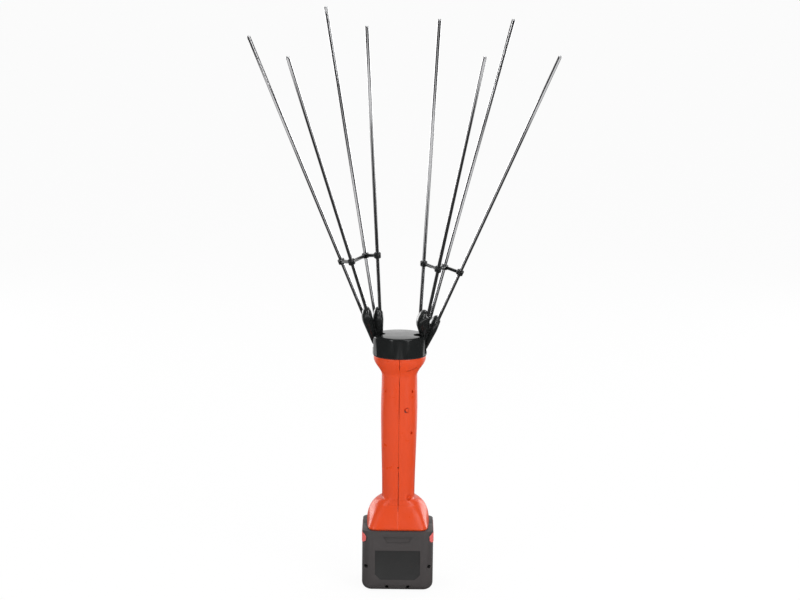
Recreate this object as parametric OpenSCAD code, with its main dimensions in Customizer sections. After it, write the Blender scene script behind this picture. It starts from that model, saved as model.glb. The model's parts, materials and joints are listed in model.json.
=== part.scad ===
// Electric olive harvester: two four-rod rakes that clap on a battery handle.
// Origin at the middle of the pack's bottom face, +Z up, front towards -Y.

/* [Battery pack] */
// Width of the pack, left to right
battery_w = 80; // [76:1:90]
// Depth of the pack, front to back
battery_d = 74; // [73:1:86]
// Height of the pack up to the foot of the handle
battery_h = 69; // [68:1:76]
// Radius of the pack's upright corners
battery_corner = 11; // [8:0.5:13]
// Rounding of the pack's bottom edge
battery_round = 9; // [6:0.5:11]
// Wall of the pack's case
battery_wall = 2.4; // [1.8:0.1:2.6]
// Diameter of a cell
cell_d = 21.5; // [18:0.1:21.5]
// Room in the pack over its lower cells
cell_over = 18.2; // [18.2:0.2:23]
// Width of the tower that goes up into the handle
tower_w = 26; // [26:0.5:28]
// Travel of a release button
latch_travel = 2.5; // [1.5:0.1:2.8]

/* [Handle] */
// How far the skirt stands in from the pack's sides
skirt_in_w = 5; // [3:0.5:7]
// How far the skirt stands in from the pack's front and back
skirt_in_d = 3; // [1:0.5:5]
// Width of the skirt's front panel at the foot
panel_foot_w = 64; // [58:1:66]
// Height of the skirt over the top of the pack's tower
skirt_over = 8; // [7.6:0.2:12]
// Width of the grip at its foot
grip_foot_w = 36.8; // [36:0.2:40]
// Depth of the grip at its foot
grip_foot_d = 42; // [41:0.5:46]
// Width of the grip at its fullest
grip_w = 41.2; // [41:0.2:46]
// Depth of the grip at its fullest
grip_d = 46; // [45:0.5:50]
// Width of the neck under the head
neck_w = 40; // [39.5:0.5:46]
// Depth of the neck under the head
neck_d = 43; // [42:0.5:48]
// Length of the grip, from the skirt to the neck
grip_l = 138.5; // [138:0.5:142]
// Height of the flare, from the neck to the seat of the head
flare_h = 22; // [21:0.5:23.5]
// Wall of the handle's shells
shell_wall = 2.4; // [1.8:0.1:2.6]

/* [Head] */
// Diameter of the cap
cap_d = 61; // [60:0.5:68]
// Height of the cap
cap_h = 22; // [21:0.5:26]
// Wall of the cap
cap_wall = 2.4; // [1.6:0.1:2.8]
// Thickness of the gasket under the cap
gasket_t = 1.5; // [1:0.1:2]
// Height of the pivot pin above the seat
pivot_up = 5.5; // [5:0.5:6.5]
// Diameter of the pivot pin
pivot_d = 6; // [5:0.5:7]

/* [Rakes] */
// Outward lean of a rake
lean_out = 12.2; // [10:0.1:14]
// Forward lean of a rake
lean_front = 17.8; // [14:0.1:19]
// Half angle of the cone that the four rods make
spread = 9.4; // [8.8:0.1:10]
// Turn of the four rods about the rake's axis
turn = -15.4; // [-20:0.1:-10]
// Diameter of a rod
rod_d = 4; // [3:0.1:5]
// Distance from the point where the rods would meet to their tips
rod_reach = 408; // [350:1:450]
// Distance from that point to the spacer clip of the left rake
clip_reach_left = 122.3; // [105:0.1:150]
// Distance from that point to the spacer clip of the right rake
clip_reach_right = 117.4; // [105:0.1:150]
// Backward tilt of a spacer clip
clip_tilt = 3.5; // [0:0.1:9]
// Diameter of a bulb of the rod holder
bulb_d = 9.2; // [8.4:0.1:10]
// Wall round a rod at the holder's rim
rim_wall = 0.8; // [0.6:0.1:1.4]

/* [Drive] */
// Swing of a rake each way
swing = 4; // [3:0.5:4]
// Turn of the crank each way for that swing
crank_turn = 45; // [40:1:50]
// Module of the gears
gear_module = 0.65; // [0.62:0.01:0.68]
// Diameter of the motor
motor_d = 28; // [24:0.5:29]
// Length of the motor's can
motor_l = 52; // [46:0.5:52]
// Travel of the switch button
switch_travel = 2.5; // [1:0.1:3]

/* [Hidden] */
$fn = 64;
run_gap = 0.05;
fit_gap = 0.02;
clear = 0.3;
seat_gap = 0.3;
skirt_w = battery_w - 2 * skirt_in_w;
skirt_d = battery_d - 2 * skirt_in_d;
far = 300;
foot_z = battery_h + seat_gap;
dome_z = foot_z + 5.7;

// Cells and the tower that the upper one stands in
cell_z = 7.8;
cell_gap = 0.4;
cell_l = battery_h - cell_z - cell_over;
top_cell_z = cell_z + cell_l + cell_gap;
tower_wall = 1.8;
tower_lid = 1.4;
tower_top = top_cell_z + cell_l + cell_gap + tower_lid;

// Heights of the handle and the head
grip_z = tower_top + skirt_over;
neck_z = grip_z + grip_l;
seat_z = neck_z + flare_h;
swell_z = mix(grip_z, neck_z, 0.73);
flare_top_z = seat_z - 3;
cap_z = seat_z + gasket_t;
cap_top_z = cap_z + cap_h;
pivot_z = seat_z + pivot_up;

// Points where the rods of each rake would meet, left and right
meet_x = 19.7;
meet_left = [-meet_x, 12, pivot_z - 14.3];
meet_right = [meet_x, 8, pivot_z - 18.7];
base_reach = 17;
neck_reach = 24;
spigot_r = 3;
rod_from = 44;

// Holder: distance along each rod to the rim, and the foot of its outer and inner bulb
rim_at = [67, 60, 62, 77];
bulb_drop = 15;
bulb_share = 0.78;
rim_t = 0.6;
outer_foot = [2.5, 25, 3.4];
inner_foot = [-4.5, 37, 3.6];

// Levels of the drive, from the pivot downwards
ecc_t = 4.6;
ecc_r = 6.5;
ecc_upper_z = pivot_z - 17.5;
ecc_lower_z = pivot_z - 24.5;
throw_upper = (pivot_z - ecc_upper_z) * tan(swing) / sin(crank_turn);
throw_lower = (pivot_z - ecc_lower_z) * tan(swing) / sin(crank_turn);
crank_r = 2.5;
bearing_r = 8;
bearing_t = 5;
plate_z = ecc_upper_z + ecc_t / 2 + 1.6;
cover_z = ecc_lower_z - ecc_t / 2 - 2.2 - bearing_t;
carrier_t = 3.8;
carrier_z = cover_z - 0.4 - carrier_t;
gear_t = 8;
gear_z = carrier_z - 0.5 - gear_t;
case_floor_t = 3;
case_z = gear_z - 1.5 - case_floor_t;
case_r = 15.6;
motor_z = case_z - motor_l;
motor_r = motor_d / 2;
can_t = 1.2;
shaft_r = 1.5;
endbell_t = 4;

// Gears
sun_teeth = 15;
planet_teeth = 12;
ring_teeth = sun_teeth + 2 * planet_teeth;
orbit_r = gear_module * (sun_teeth + planet_teeth) / 2;
pressure = 25;
gear_play = 0.12;

// Arms: slices along the pivot pin
hub_r = 6.2;
hub_end = 14.2;
arm_split = 5.6;
arm_t = 4.5;
tail_in = 10.4;
tail_t = 3.6;
fork_gap = ecc_r + clear;
tine_t = 3;
tine_reach = 6;
bush_r = pivot_d / 2 + 1.2;
lug_in = hub_end + 0.4;
lug_t = 4.4;
plate_r = 25.2;

// Screws that join the shells: distance to the front or back, and height
screw_y = 18.4;
mid_screw_y = 19.6;
foot_screw_y = 15.6;
high_screw_z = seat_z - 39;
mid_screw_z = seat_z - 61.5;
low_screw_z = seat_z - 85.5;
shell_screw_at = [
    [-screw_y, high_screw_z], [-mid_screw_y, mid_screw_z], [-screw_y, low_screw_z], [-foot_screw_y, grip_z],
    [screw_y, high_screw_z], [screw_y, low_screw_z], [foot_screw_y, grip_z]
];
boss_r = 2.4;
boss_end = 8;
screw_r = 1.3;
head_r = 2.6;
head_t = 1.8;

// Switch, on the back of the grip
switch_z = grip_z + 36;
button_w = 11;
button_h = 23;
button_out = 2.8;
flange_t = 3;
switch_room = 1;
switch_body_h = 30;

// Pack
cell_pitch = cell_d + 0.2;
cell_cols = floor((battery_w - 14.4) / cell_pitch);
cell_rows = floor((battery_d - 2 * battery_wall) / cell_pitch);
cell_span_x = (cell_cols - 1) * cell_pitch;
cell_span_y = (cell_rows - 1) * cell_pitch;
panel_w = battery_w - 29.2;
panel_z = [13, battery_h - 22];
slot_z = [battery_h - 13, battery_h - 6.5];
side_screw_x = battery_w / 2 - 4.7;
pack_screw_at = [[-side_screw_x, 28.3], [side_screw_x, 28.3], [-11.8, 4.7], [11.8, 4.7]];
pack_boss_r = 2.6;
pack_hole_r = 2.1;
pack_screw_in = 8;
pad_low = battery_h - 13.6;
pad_len = battery_d - 8;
pad_t = 4.2;
pad_top = battery_h - battery_wall - 2 * clear;
press_room = latch_travel + 0.6;
tongue_z = pad_low + 2.6;
tongue_h = 7;
pad_in = battery_w / 2 - pad_t;
finger_w = 8;
finger_t = 3;
finger_x = skirt_w / 2 - shell_wall - 4.2;
hook_top = foot_z + 7;
seat_wall_t = 1.6;
seat_wall_x = finger_x - 7.8 - seat_wall_t;
latch_spring_z = battery_h - 7;
block_w = tower_w + 2.4;
block_d = tower_w - 0.2;
block_t = 6;
block_z = tower_top + 1;
blade_t = 0.6;

// Plain helpers
function mix(a, b, t) = a + (b - a) * t;
function limit(t) = min(max(t, 0), 1);
function smooth(t) = limit(t) * limit(t) * (3 - 2 * limit(t));
function unit(v) = v / norm(v);
function at_z(pts, z) = [for (p = pts) [p[0], p[1], z]];

// Outline with rounded corners, anticlockwise from above
function rounded_rect(hw, hd, r, n) = [
    for (c = [0:3]) for (i = [0:n])
        let (a = 90 * (c + i / n), sx = (c == 0 || c == 3) ? 1 : -1, sy = c < 2 ? 1 : -1)
        [sx * (hw - r) + r * cos(a), sy * (hd - r) + r * sin(a)]
];

// Solid through a stack of rings with equal counts of points; an arch is a ring that goes out and back
module loft(rings, arch = false) {
    n = len(rings[0]);
    m = len(rings);
    sides = [
        for (j = [0:m - 2]) for (i = [0:n - 1])
            let (a = j * n + i, b = j * n + (i + 1) % n, c = b + n, d = a + n)
            each [[a, d, c], [a, c, b]]
    ];
    face = arch ? [for (i = [0:n / 2 - 2]) [i, i + 1, n - 2 - i, n - 1 - i]] : [[for (i = [0:n - 1]) i]];
    lid = [for (f = face) [for (i = [len(f) - 1:-1:0]) (m - 1) * n + f[i]]];
    polyhedron([for (r = rings) each r], concat(sides, face, lid), convexity = 8);
}

// Tube along a list of points, with its ends square to the path
function tangent(p, i) = unit(p[min(i + 1, len(p) - 1)] - p[max(i - 1, 0)]);
function tube_ring(p, i, r, sides, up) =
    let (t = tangent(p, i), u = unit(cross(t, up)), v = cross(t, u))
    [for (k = [0:sides - 1]) p[i] + r * (cos(360 * k / sides) * v + sin(360 * k / sides) * u)];
module tube(path, r, sides, up) {
    loft([for (i = [0:len(path) - 1]) tube_ring(path, i, r, sides, up)]);
}

// Coil spring along +Z from the origin: 8 rings a curl, 6 sides
coil_steps = 8;
function coil_path(r, length, curls, wire) = [
    for (i = [0:curls * coil_steps])
        [r * cos(360 * i / coil_steps), r * sin(360 * i / coil_steps),
         wire / 2 + (length - wire) * i / (curls * coil_steps)]
];
function coil_gap(p, wire) = min([
    for (i = [0:len(p) - 1]) for (j = [i + coil_steps - 2:1:len(p) - 1]) norm(p[j] - p[i])
]) - wire;
module coil_spring(r, length, curls, wire) {
    path = coil_path(r, length, curls, wire);
    echo(least_gap_in_spring = coil_gap(path, wire));
    tube(path, wire / 2, 6, [0, 0, 1]);
}

// Handle: half width, half depth, squareness and slant of the sides at a height
function dome(z) = let (t = limit((z - dome_z) / (grip_z - dome_z))) sqrt(1 - t * t);
function skirt_part(z) = limit((grip_z - z) / (grip_z - foot_z - 3));
function grip_part(z) = smooth((z - grip_z) / (swell_z - grip_z));
function neck_part(z) = smooth((z - swell_z) / (neck_z - swell_z));
function flare_part(z) = smooth((z - neck_z) / (flare_top_z - neck_z));
function along_handle(z, foot, swell, neck) =
    let (grip = mix(mix(foot, swell, grip_part(z)), neck, neck_part(z)))
    mix(grip, cap_d - 0.6, flare_part(z)) / 2;
function half_w(z) = z < grip_z
    ? mix(grip_foot_w, skirt_w, dome(z)) / 2
    : along_handle(z, grip_foot_w, grip_w, neck_w);
function half_d(z) = z < grip_z
    ? mix(grip_foot_d, skirt_d, skirt_part(z)) / 2
    : along_handle(z, grip_foot_d, grip_d, neck_d);
function panel_half(z) = mix(grip_foot_w, panel_foot_w, skirt_part(z)) / 2;
function slant(z) = z < grip_z ? max(0, half_w(z) - panel_half(z)) / half_d(z) : 0;
ridge_square = 9;
function squareness(z) = z < grip_z
    ? mix(2.5, ridge_square, smooth((grip_z - z) / 14))
    : mix(2.5, 2, flare_part(z));

// Distance from the handle's axis to its outline, with the sides' middles rounded over
side_round = 0.15;
function side_rise(a) = norm([sin(a), side_round]) - side_round;
function handle_reach(z, inset, a) =
    let (n = squareness(z))
    let (side = (abs(cos(a)) + slant(z) * side_rise(a)) / (half_w(z) - inset))
    let (front = abs(sin(a)) / (half_d(z) - inset))
    pow(pow(side, n) + pow(front, n), -1 / n);
function handle_levels() = concat(
    [foot_z, foot_z + 3],
    [for (i = [0:8]) dome_z + (grip_z - dome_z) * sin(90 * i / 8)],
    [for (i = [1:8]) mix(grip_z, swell_z, i / 8)],
    [for (i = [1:3]) mix(swell_z, neck_z, i / 3)],
    [for (i = [1:8]) mix(neck_z, flare_top_z, i / 8)],
    [seat_z]
);
half_steps = 20;
function half_outline(z, inset) = [
    for (i = [0:half_steps])
        let (a = 180 * i / half_steps - 90) handle_reach(z, inset, a) * [cos(a), sin(a)]
];
function shell_ring(z) = at_z(
    concat(half_outline(z, 0), [for (i = [half_steps:-1:0]) half_outline(z, shell_wall)[i]]), z
);

// Half rib across the housing at a height, with a hole left by the children
module half_rib(z, t) {
    translate([0, 0, z]) linear_extrude(t) difference() {
        polygon(half_outline(z + t / 2, shell_wall / 2));
        children();
    }
}

// One half of the housing, made as the right-hand one
module half_shell() {
    loft([for (z = handle_levels()) shell_ring(z)], arch = true);
    half_rib(motor_z + 6, 3) circle(motor_r + clear);
    half_rib(motor_z + 32, 3) circle(motor_r + clear);
    half_rib(gear_z + 1, 3) circle(case_r + clear);
    half_rib(plate_z - 3.4, 3) circle(20.6);
    half_rib(switch_z - switch_body_h / 2 - 3.2, 3) translate([0, -9]) circle(7);
    half_rib(block_z - 3, 3) square(tower_w + 0.8, center = true);
    translate([7 + clear, 2, switch_z - 8]) cube([half_w(switch_z) - 8.4, 6, 16]);
    for (s = shell_screw_at) translate([0, s[0], s[1]]) rotate([0, 90, 0])
        cylinder(r = boss_r, h = boss_end);
}

// Openings that both halves share: the switch button and the screws' holes
module shell_openings() {
    button_gap = 2 * clear;
    translate([-button_w / 2 - clear, 5, switch_z - button_h / 2 - clear])
        cube([button_w + button_gap, far, button_h + button_gap]);
    for (s = shell_screw_at) translate([-boss_end - 1, s[0], s[1]]) rotate([0, 90, 0])
        cylinder(r = screw_r + run_gap, h = 2 * boss_end + 2, $fn = 24);
}

module handle_shell_left() {
    color("orangered") difference() {
        mirror([1, 0, 0]) half_shell();
        shell_openings();
    }
}

module handle_shell_right() {
    color("orangered") difference() {
        half_shell();
        shell_openings();
        for (s = shell_screw_at) translate([boss_end - head_t, s[0], s[1]]) rotate([0, 90, 0])
            cylinder(r = head_r + clear, h = far, $fn = 32);
    }
}

// Screw along +Z with the underside of its slotted head at the origin
module screw(head, shank) {
    slot = 0.8;
    difference() {
        cylinder(r = head, h = head_t, $fn = 32);
        translate([-head - 1, -slot / 2, head_t - slot]) cube([2 * head + 2, slot, slot + 1]);
    }
    translate([0, 0, -shank]) cylinder(r = screw_r, h = shank, $fn = 24);
}

module shell_screws() {
    color("dimgray") for (s = shell_screw_at) translate([boss_end - head_t, s[0], s[1]])
        rotate([0, 90, 0]) screw(head_r, 2 * boss_end - head_t - 1);
}

// Notch of the cap where a rake comes out, for the rake that meets at m
module cap_notch(m) {
    side = sign(m[0]);
    y_mid = m[1] - 10.8;
    half = 7.6;
    inner = 16.2;
    low = m[2] + 16.6;
    translate([side * (inner + half), y_mid, low]) cylinder(r = half, h = far);
    translate([side > 0 ? inner + half : -inner - half - far, y_mid - half, low])
        cube([far, 2 * half, far]);
}

cap_screw_x = 12;
cap_screw_y = 19.5;
cap_screw_z = cap_z + 5;
cap_head_y = sqrt(pow(cap_d / 2, 2) - pow(cap_screw_x + 3.2, 2)) - head_t;

module head_cap() {
    edge = 2.6;
    r = cap_d / 2;
    color("#1c1e1e") difference() {
        rotate_extrude($fn = 96) polygon(concat(
            [[r - cap_wall, cap_z], [r, cap_z]],
            [for (i = [0:6]) [r - edge + edge * cos(15 * i), cap_top_z - edge + edge * sin(15 * i)]],
            [[0, cap_top_z], [0, cap_top_z - cap_wall], [r - cap_wall, cap_top_z - cap_wall]]
        ));
        cap_notch(meet_left);
        cap_notch(meet_right);
        for (s = [-1, 1]) translate([s * cap_screw_x, cap_screw_y, cap_screw_z]) rotate([-90, 0, 0]) {
            cylinder(r = screw_r + clear, h = 20, $fn = 24);
            translate([0, 0, cap_head_y - cap_screw_y]) cylinder(r = head_r + clear, h = 20, $fn = 32);
        }
    }
}

module cap_screws() {
    color("dimgray") for (s = [-1, 1]) translate([s * cap_screw_x, cap_head_y, cap_screw_z])
        rotate([-90, 0, 0]) screw(head_r, cap_head_y - cap_screw_y);
}

module head_gasket() {
    color("#202020") translate([0, 0, seat_z]) difference() {
        cylinder(r = cap_d / 2 - 0.9, h = gasket_t, $fn = 96);
        translate([0, 0, -1]) cylinder(r = cap_d / 2 - 3, h = gasket_t + 2, $fn = 96);
    }
}

// Cast frame: plate with the top bearing, two lugs for the pin, two posts for the cap
module head_frame() {
    color("silver") difference() {
        union() {
            translate([0, 0, plate_z]) cylinder(r = plate_r, h = bearing_t);
            for (s = [-1, 1]) {
                translate([-hub_r, s > 0 ? lug_in : -lug_in - lug_t, plate_z])
                    cube([2 * hub_r, lug_t, pivot_z - plate_z]);
                translate([0, s > 0 ? lug_in : -lug_in - lug_t, pivot_z]) rotate([-90, 0, 0])
                    cylinder(r = hub_r, h = lug_t);
                translate([s * cap_screw_x, cap_screw_y, plate_z])
                    cylinder(r = 3.4, h = cap_screw_z - plate_z + 4, $fn = 32);
            }
        }
        translate([0, 0, plate_z - 1]) cylinder(r = bearing_r, h = bearing_t + 2);
        for (s = [-1, 1]) {
            translate([-12.5, s > 0 ? lug_in - 5 : -lug_in, plate_z - 1]) cube([25, 5, bearing_t + 2]);
            translate([s * cap_screw_x, 10, cap_screw_z]) rotate([-90, 0, 0])
                cylinder(r = screw_r + run_gap, h = 20, $fn = 24);
        }
        translate([0, -far / 2, pivot_z]) rotate([-90, 0, 0])
            cylinder(r = pivot_d / 2 + fit_gap, h = far);
    }
}

pin_end = lug_in + lug_t + 1.6;

module pivot_pin() {
    color("lightgray") translate([0, -pin_end, pivot_z]) rotate([-90, 0, 0]) difference() {
        cylinder(r = pivot_d / 2, h = 2 * pin_end);
        for (z = [0.6, 2 * pin_end - 1.4]) translate([0, 0, z]) difference() {
            cylinder(r = pivot_d / 2 + 1, h = 0.8);
            translate([0, 0, -1]) cylinder(r = pivot_d / 2 - 0.6, h = 3);
        }
    }
}

module pivot_clips() {
    color("gray") for (y = [-pin_end + 0.65, pin_end - 1.35]) translate([0, y, pivot_z])
        rotate([-90, 0, 0]) difference() {
            cylinder(r = pivot_d / 2 + 1.4, h = 0.7);
            translate([0, 0, -1]) cylinder(r = pivot_d / 2 - 0.6, h = 3);
            translate([-1.2, 0, -1]) cube([2.4, 10, 3]);
        }
}

module bearing(z) {
    color("lightsteelblue") translate([0, 0, z]) difference() {
        cylinder(r = bearing_r, h = bearing_t);
        translate([0, 0, -1]) cylinder(r = crank_r + run_gap, h = bearing_t + 2);
        for (b = [-0.01, bearing_t - 0.6]) translate([0, 0, b]) difference() {
            cylinder(r = bearing_r - 1.5, h = 0.61);
            translate([0, 0, -1]) cylinder(r = crank_r + 1.5, h = 3);
        }
    }
}

module crank_bearing_upper() { bearing(plate_z); }
module crank_bearing_lower() { bearing(cover_z); }

// Outline of an involute gear; wide adds to the teeth, and is negative on a gear that needs play
function involute(rb, r) = sqrt(max(pow(r / rb, 2) - 1, 0)) * 180 / PI - acos(min(rb / r, 1));
function gear_outline(n, m, add, ded, wide) =
    let (rp = m * n / 2, rb = rp * cos(pressure), ra = rp + add, rr = rp - ded, rs = max(rb, rr))
    let (half = 90 / n + wide / rp * 90 / PI + involute(rb, rp))
    let (flank = [for (i = [0:4]) let (r = mix(rs, ra, i / 4)) [r, half - involute(rb, r)]])
    let (foot = rs > rr ? [[rr, half]] : [])
    let (tooth = concat(
        [for (f = foot) [f[0], -f[1]]],
        [for (f = flank) [f[0], -f[1]]],
        [for (i = [4:-1:0]) flank[i]],
        foot
    ))
    [for (k = [0:n - 1]) for (p = tooth) let (a = p[1] + 360 * k / n) [p[0] * cos(a), p[0] * sin(a)]];

add = 0.9 * gear_module;
ded = 1.2 * gear_module;

module ring_gear() {
    color("slategray") translate([0, 0, case_z]) difference() {
        cylinder(r = case_r, h = cover_z - case_z);
        translate([0, 0, -1]) cylinder(r = 5.2, h = 10);
        translate([0, 0, case_floor_t]) rotate([0, 0, 180 / ring_teeth])
            linear_extrude(cover_z - case_z)
                polygon(gear_outline(ring_teeth, gear_module, ded, add, gear_play));
    }
}

module gearbox_cover() {
    color("slategray") translate([0, 0, cover_z]) difference() {
        cylinder(r = case_r, h = bearing_t);
        translate([0, 0, -1]) cylinder(r = bearing_r, h = bearing_t + 2);
    }
}

module spur(n, bore) {
    translate([0, 0, gear_z]) linear_extrude(gear_t) difference() {
        polygon(gear_outline(n, gear_module, add, ded, -gear_play));
        circle(bore);
    }
}

module sun_gear() { color("goldenrod") spur(sun_teeth, shaft_r); }

planet_pin_r = 1.5;

module planet_gear(i) {
    color("goldenrod") rotate([0, 0, 120 * i]) translate([orbit_r, 0, 0])
        rotate([0, 0, 180 / planet_teeth]) spur(planet_teeth, planet_pin_r + run_gap);
}

module planet_gear_1() { planet_gear(0); }
module planet_gear_2() { planet_gear(1); }
module planet_gear_3() { planet_gear(2); }

module planet_carrier() {
    color("darkgray") difference() {
        union() {
            translate([0, 0, carrier_z]) cylinder(r = orbit_r + 2.8, h = carrier_t);
            for (i = [0:2]) rotate([0, 0, 120 * i]) translate([orbit_r, 0, gear_z])
                cylinder(r = planet_pin_r, h = carrier_z - gear_z + 1, $fn = 32);
        }
        translate([0, 0, carrier_z - 1]) cylinder(r = crank_r, h = carrier_t + 2);
    }
}

module crank_shaft() {
    color("lightgray") translate([0, 0, carrier_z])
        cylinder(r = crank_r, h = plate_z + bearing_t - 0.4 - carrier_z);
}

// Eccentric with a crowned edge, so that it rolls in a fork that tilts
module eccentric(z, throw) {
    color("silver") difference() {
        translate([0, throw, z]) rotate_extrude() polygon(concat(
            [[0, -ecc_t / 2]],
            [for (i = [-4:4]) let (h = ecc_t * i / 8) [sqrt(ecc_r * ecc_r - h * h), h]],
            [[0, ecc_t / 2]]
        ));
        translate([0, 0, z - 10]) cylinder(r = crank_r, h = 20);
    }
}

module eccentric_upper() { eccentric(ecc_upper_z, -throw_upper); }
module eccentric_lower() { eccentric(ecc_lower_z, throw_lower); }

module motor_can() {
    color("lightsteelblue") translate([0, 0, motor_z]) difference() {
        union() {
            cylinder(r = motor_r, h = motor_l);
            cylinder(r = 4.8, h = motor_l + 2.5);
        }
        translate([0, 0, -1]) cylinder(r = motor_r - can_t, h = motor_l - 1);
        cylinder(r = shaft_r + run_gap, h = motor_l + 10, $fn = 32);
    }
}

module motor_magnets() {
    color("#303030") translate([0, 0, motor_z + 10]) for (s = [0, 180]) rotate([0, 0, s]) difference() {
        cylinder(r = motor_r - can_t, h = motor_l - 22);
        translate([0, 0, -1]) cylinder(r = motor_r - can_t - 1.8, h = motor_l);
        translate([-motor_d, -motor_d, -1]) cube([2 * motor_d, motor_d + 3.5, motor_l]);
    }
}

module motor_endbell() {
    color("#2b2b2b") translate([0, 0, motor_z - endbell_t]) difference() {
        union() {
            cylinder(r = motor_r, h = endbell_t);
            cylinder(r = motor_r - can_t - run_gap, h = endbell_t + 3);
        }
        translate([0, 0, endbell_t - 1]) cylinder(r = 6.4, h = 10);
        translate([0, 0, -1]) cylinder(r = shaft_r + run_gap, h = 20, $fn = 32);
    }
}

module motor_shaft() {
    color("lightgray") translate([0, 0, motor_z - endbell_t + 0.5])
        cylinder(r = shaft_r, h = gear_z + gear_t - motor_z + endbell_t - 0.5, $fn = 32);
}

module armature() {
    rotor_r = motor_r - can_t - 2.2;
    poles = 5;
    color("peru") translate([0, 0, motor_z + 12]) difference() {
        cylinder(r = rotor_r, h = motor_l - 26);
        translate([0, 0, -1]) cylinder(r = shaft_r, h = motor_l, $fn = 32);
        for (i = [0:poles - 1]) rotate([0, 0, 360 * i / poles]) translate([rotor_r - 1.6, 0, -1]) {
            translate([-3.2, 0, 0]) cylinder(r = 2.4, h = motor_l, $fn = 24);
            translate([-3, -0.7, 0]) cube([8, 1.4, motor_l]);
        }
    }
}

module commutator() {
    color("darkgoldenrod") translate([0, 0, motor_z - 0.6]) difference() {
        cylinder(r = 4.6, h = 11);
        translate([0, 0, -1]) cylinder(r = shaft_r, h = 20, $fn = 32);
        for (i = [0:4]) rotate([0, 0, 72 * i]) translate([3.8, -0.3, -1]) cube([3, 0.6, 20]);
    }
}

// Switch: the button's flange under the wall, and the body that leaves room for the travel
switch_wall_y = half_d(switch_z) - shell_wall;
flange_y = switch_wall_y - flange_t - clear;
switch_body_back = flange_y - switch_travel - switch_room;

module switch_body() {
    color("#262626") difference() {
        translate([-7, 0, switch_z - switch_body_h / 2]) cube([14, switch_body_back, switch_body_h]);
        translate([0, switch_body_back - 1.2, switch_z]) rotate([-90, 0, 0])
            cylinder(r = 4, h = 5, $fn = 32);
    }
}

module switch_button() {
    out_y = half_d(switch_z) + button_out;
    color("#202020") union() {
        translate([-button_w / 2, flange_y, switch_z - button_h / 2])
            cube([button_w, out_y - flange_y - 2, button_h]);
        translate([0, out_y - 2, switch_z]) rotate([-90, 0, 0]) linear_extrude(2, scale = 0.84)
            square([button_w, button_h], center = true);
        translate([-button_w / 2 - 1.3, flange_y, switch_z - button_h / 2 - 1.5])
            cube([button_w + 2.6, flange_t - 1.2, button_h + 3]);
    }
}

switch_wire = 0.5;

module switch_spring() {
    from = switch_body_back - 1.2 + 0.1;
    color("gainsboro") translate([0, from, switch_z]) rotate([-90, 0, 0])
        coil_spring(2.8, flange_y - from - 0.1, 3, switch_wire);
}

module terminal_block() {
    color("#2f2f2f") translate([0, 0, block_z]) linear_extrude(block_t)
        polygon(rounded_rect(block_w / 2, block_d / 2, 4, 4));
}

module terminal_blades() {
    color("gold") for (s = [-1, 1]) translate([s * 7 - 2.5, -6, block_z - blade_t]) cube([5, 12, blade_t]);
}

lead_r = 1.1;
lead_x = 5;
lead_y = 9;
lead_foot_z = block_z + block_t;
lead_low_z = switch_z - 22;
lead_high_z = switch_z - 14;
lead_end_z = switch_z - 6;
function lead_start(x) = [
    [x, 3 - lead_y, lead_foot_z], [x, 3 - lead_y, lead_foot_z + 2], [x, 1.5 - lead_y, lead_foot_z + 6],
    [x, -lead_y, lead_low_z], [x, -lead_y, lead_high_z]
];
lead_long = concat(lead_start(-lead_x), [
    [-lead_x, 0.5 - lead_y, switch_z], [-lead_x, 2 - lead_y, switch_z + 8],
    [-lead_x, 2 - lead_y, motor_z - endbell_t]
]);
lead_short = concat(lead_start(lead_x - 1), [
    [lead_x - 1, 2.5 - lead_y, lead_end_z - 2], [lead_x - 1, 6 - lead_y, lead_end_z],
    [lead_x - 1, 9 - lead_y, lead_end_z]
]);

module inner_leads() {
    color("firebrick") {
        tube(lead_long, lead_r, 8, [1, 0, 0]);
        tube(lead_short, lead_r, 8, [1, 0, 0]);
    }
}

// Frame of a rake: origin where its rods would meet, Z along its axis
module rake_frame(m) {
    axis = unit([sign(m[0]) * tan(lean_out), -tan(lean_front), 1]);
    across = unit([1, 0, 0] - axis * axis[0]);
    back = cross(axis, across);
    multmatrix([
        [across[0], back[0], axis[0], m[0]],
        [across[1], back[1], axis[1], m[1]],
        [across[2], back[2], axis[2], m[2]],
        [0, 0, 0, 1]
    ]) children();
}

module along_rod(k) {
    rotate([0, 0, turn + 90 * k]) rotate([0, spread, 0]) children();
}

// Direction of rod k of the rake that meets at m, in the part's frame
function rake_axis(m) = unit([sign(m[0]) * tan(lean_out), -tan(lean_front), 1]);
function rod_dir(m, k) =
    let (n = rake_axis(m), u = unit([1, 0, 0] - n * n[0]), v = cross(n, u), a = turn + 90 * k)
    cos(spread) * n + sin(spread) * (cos(a) * u + sin(a) * v);

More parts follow.
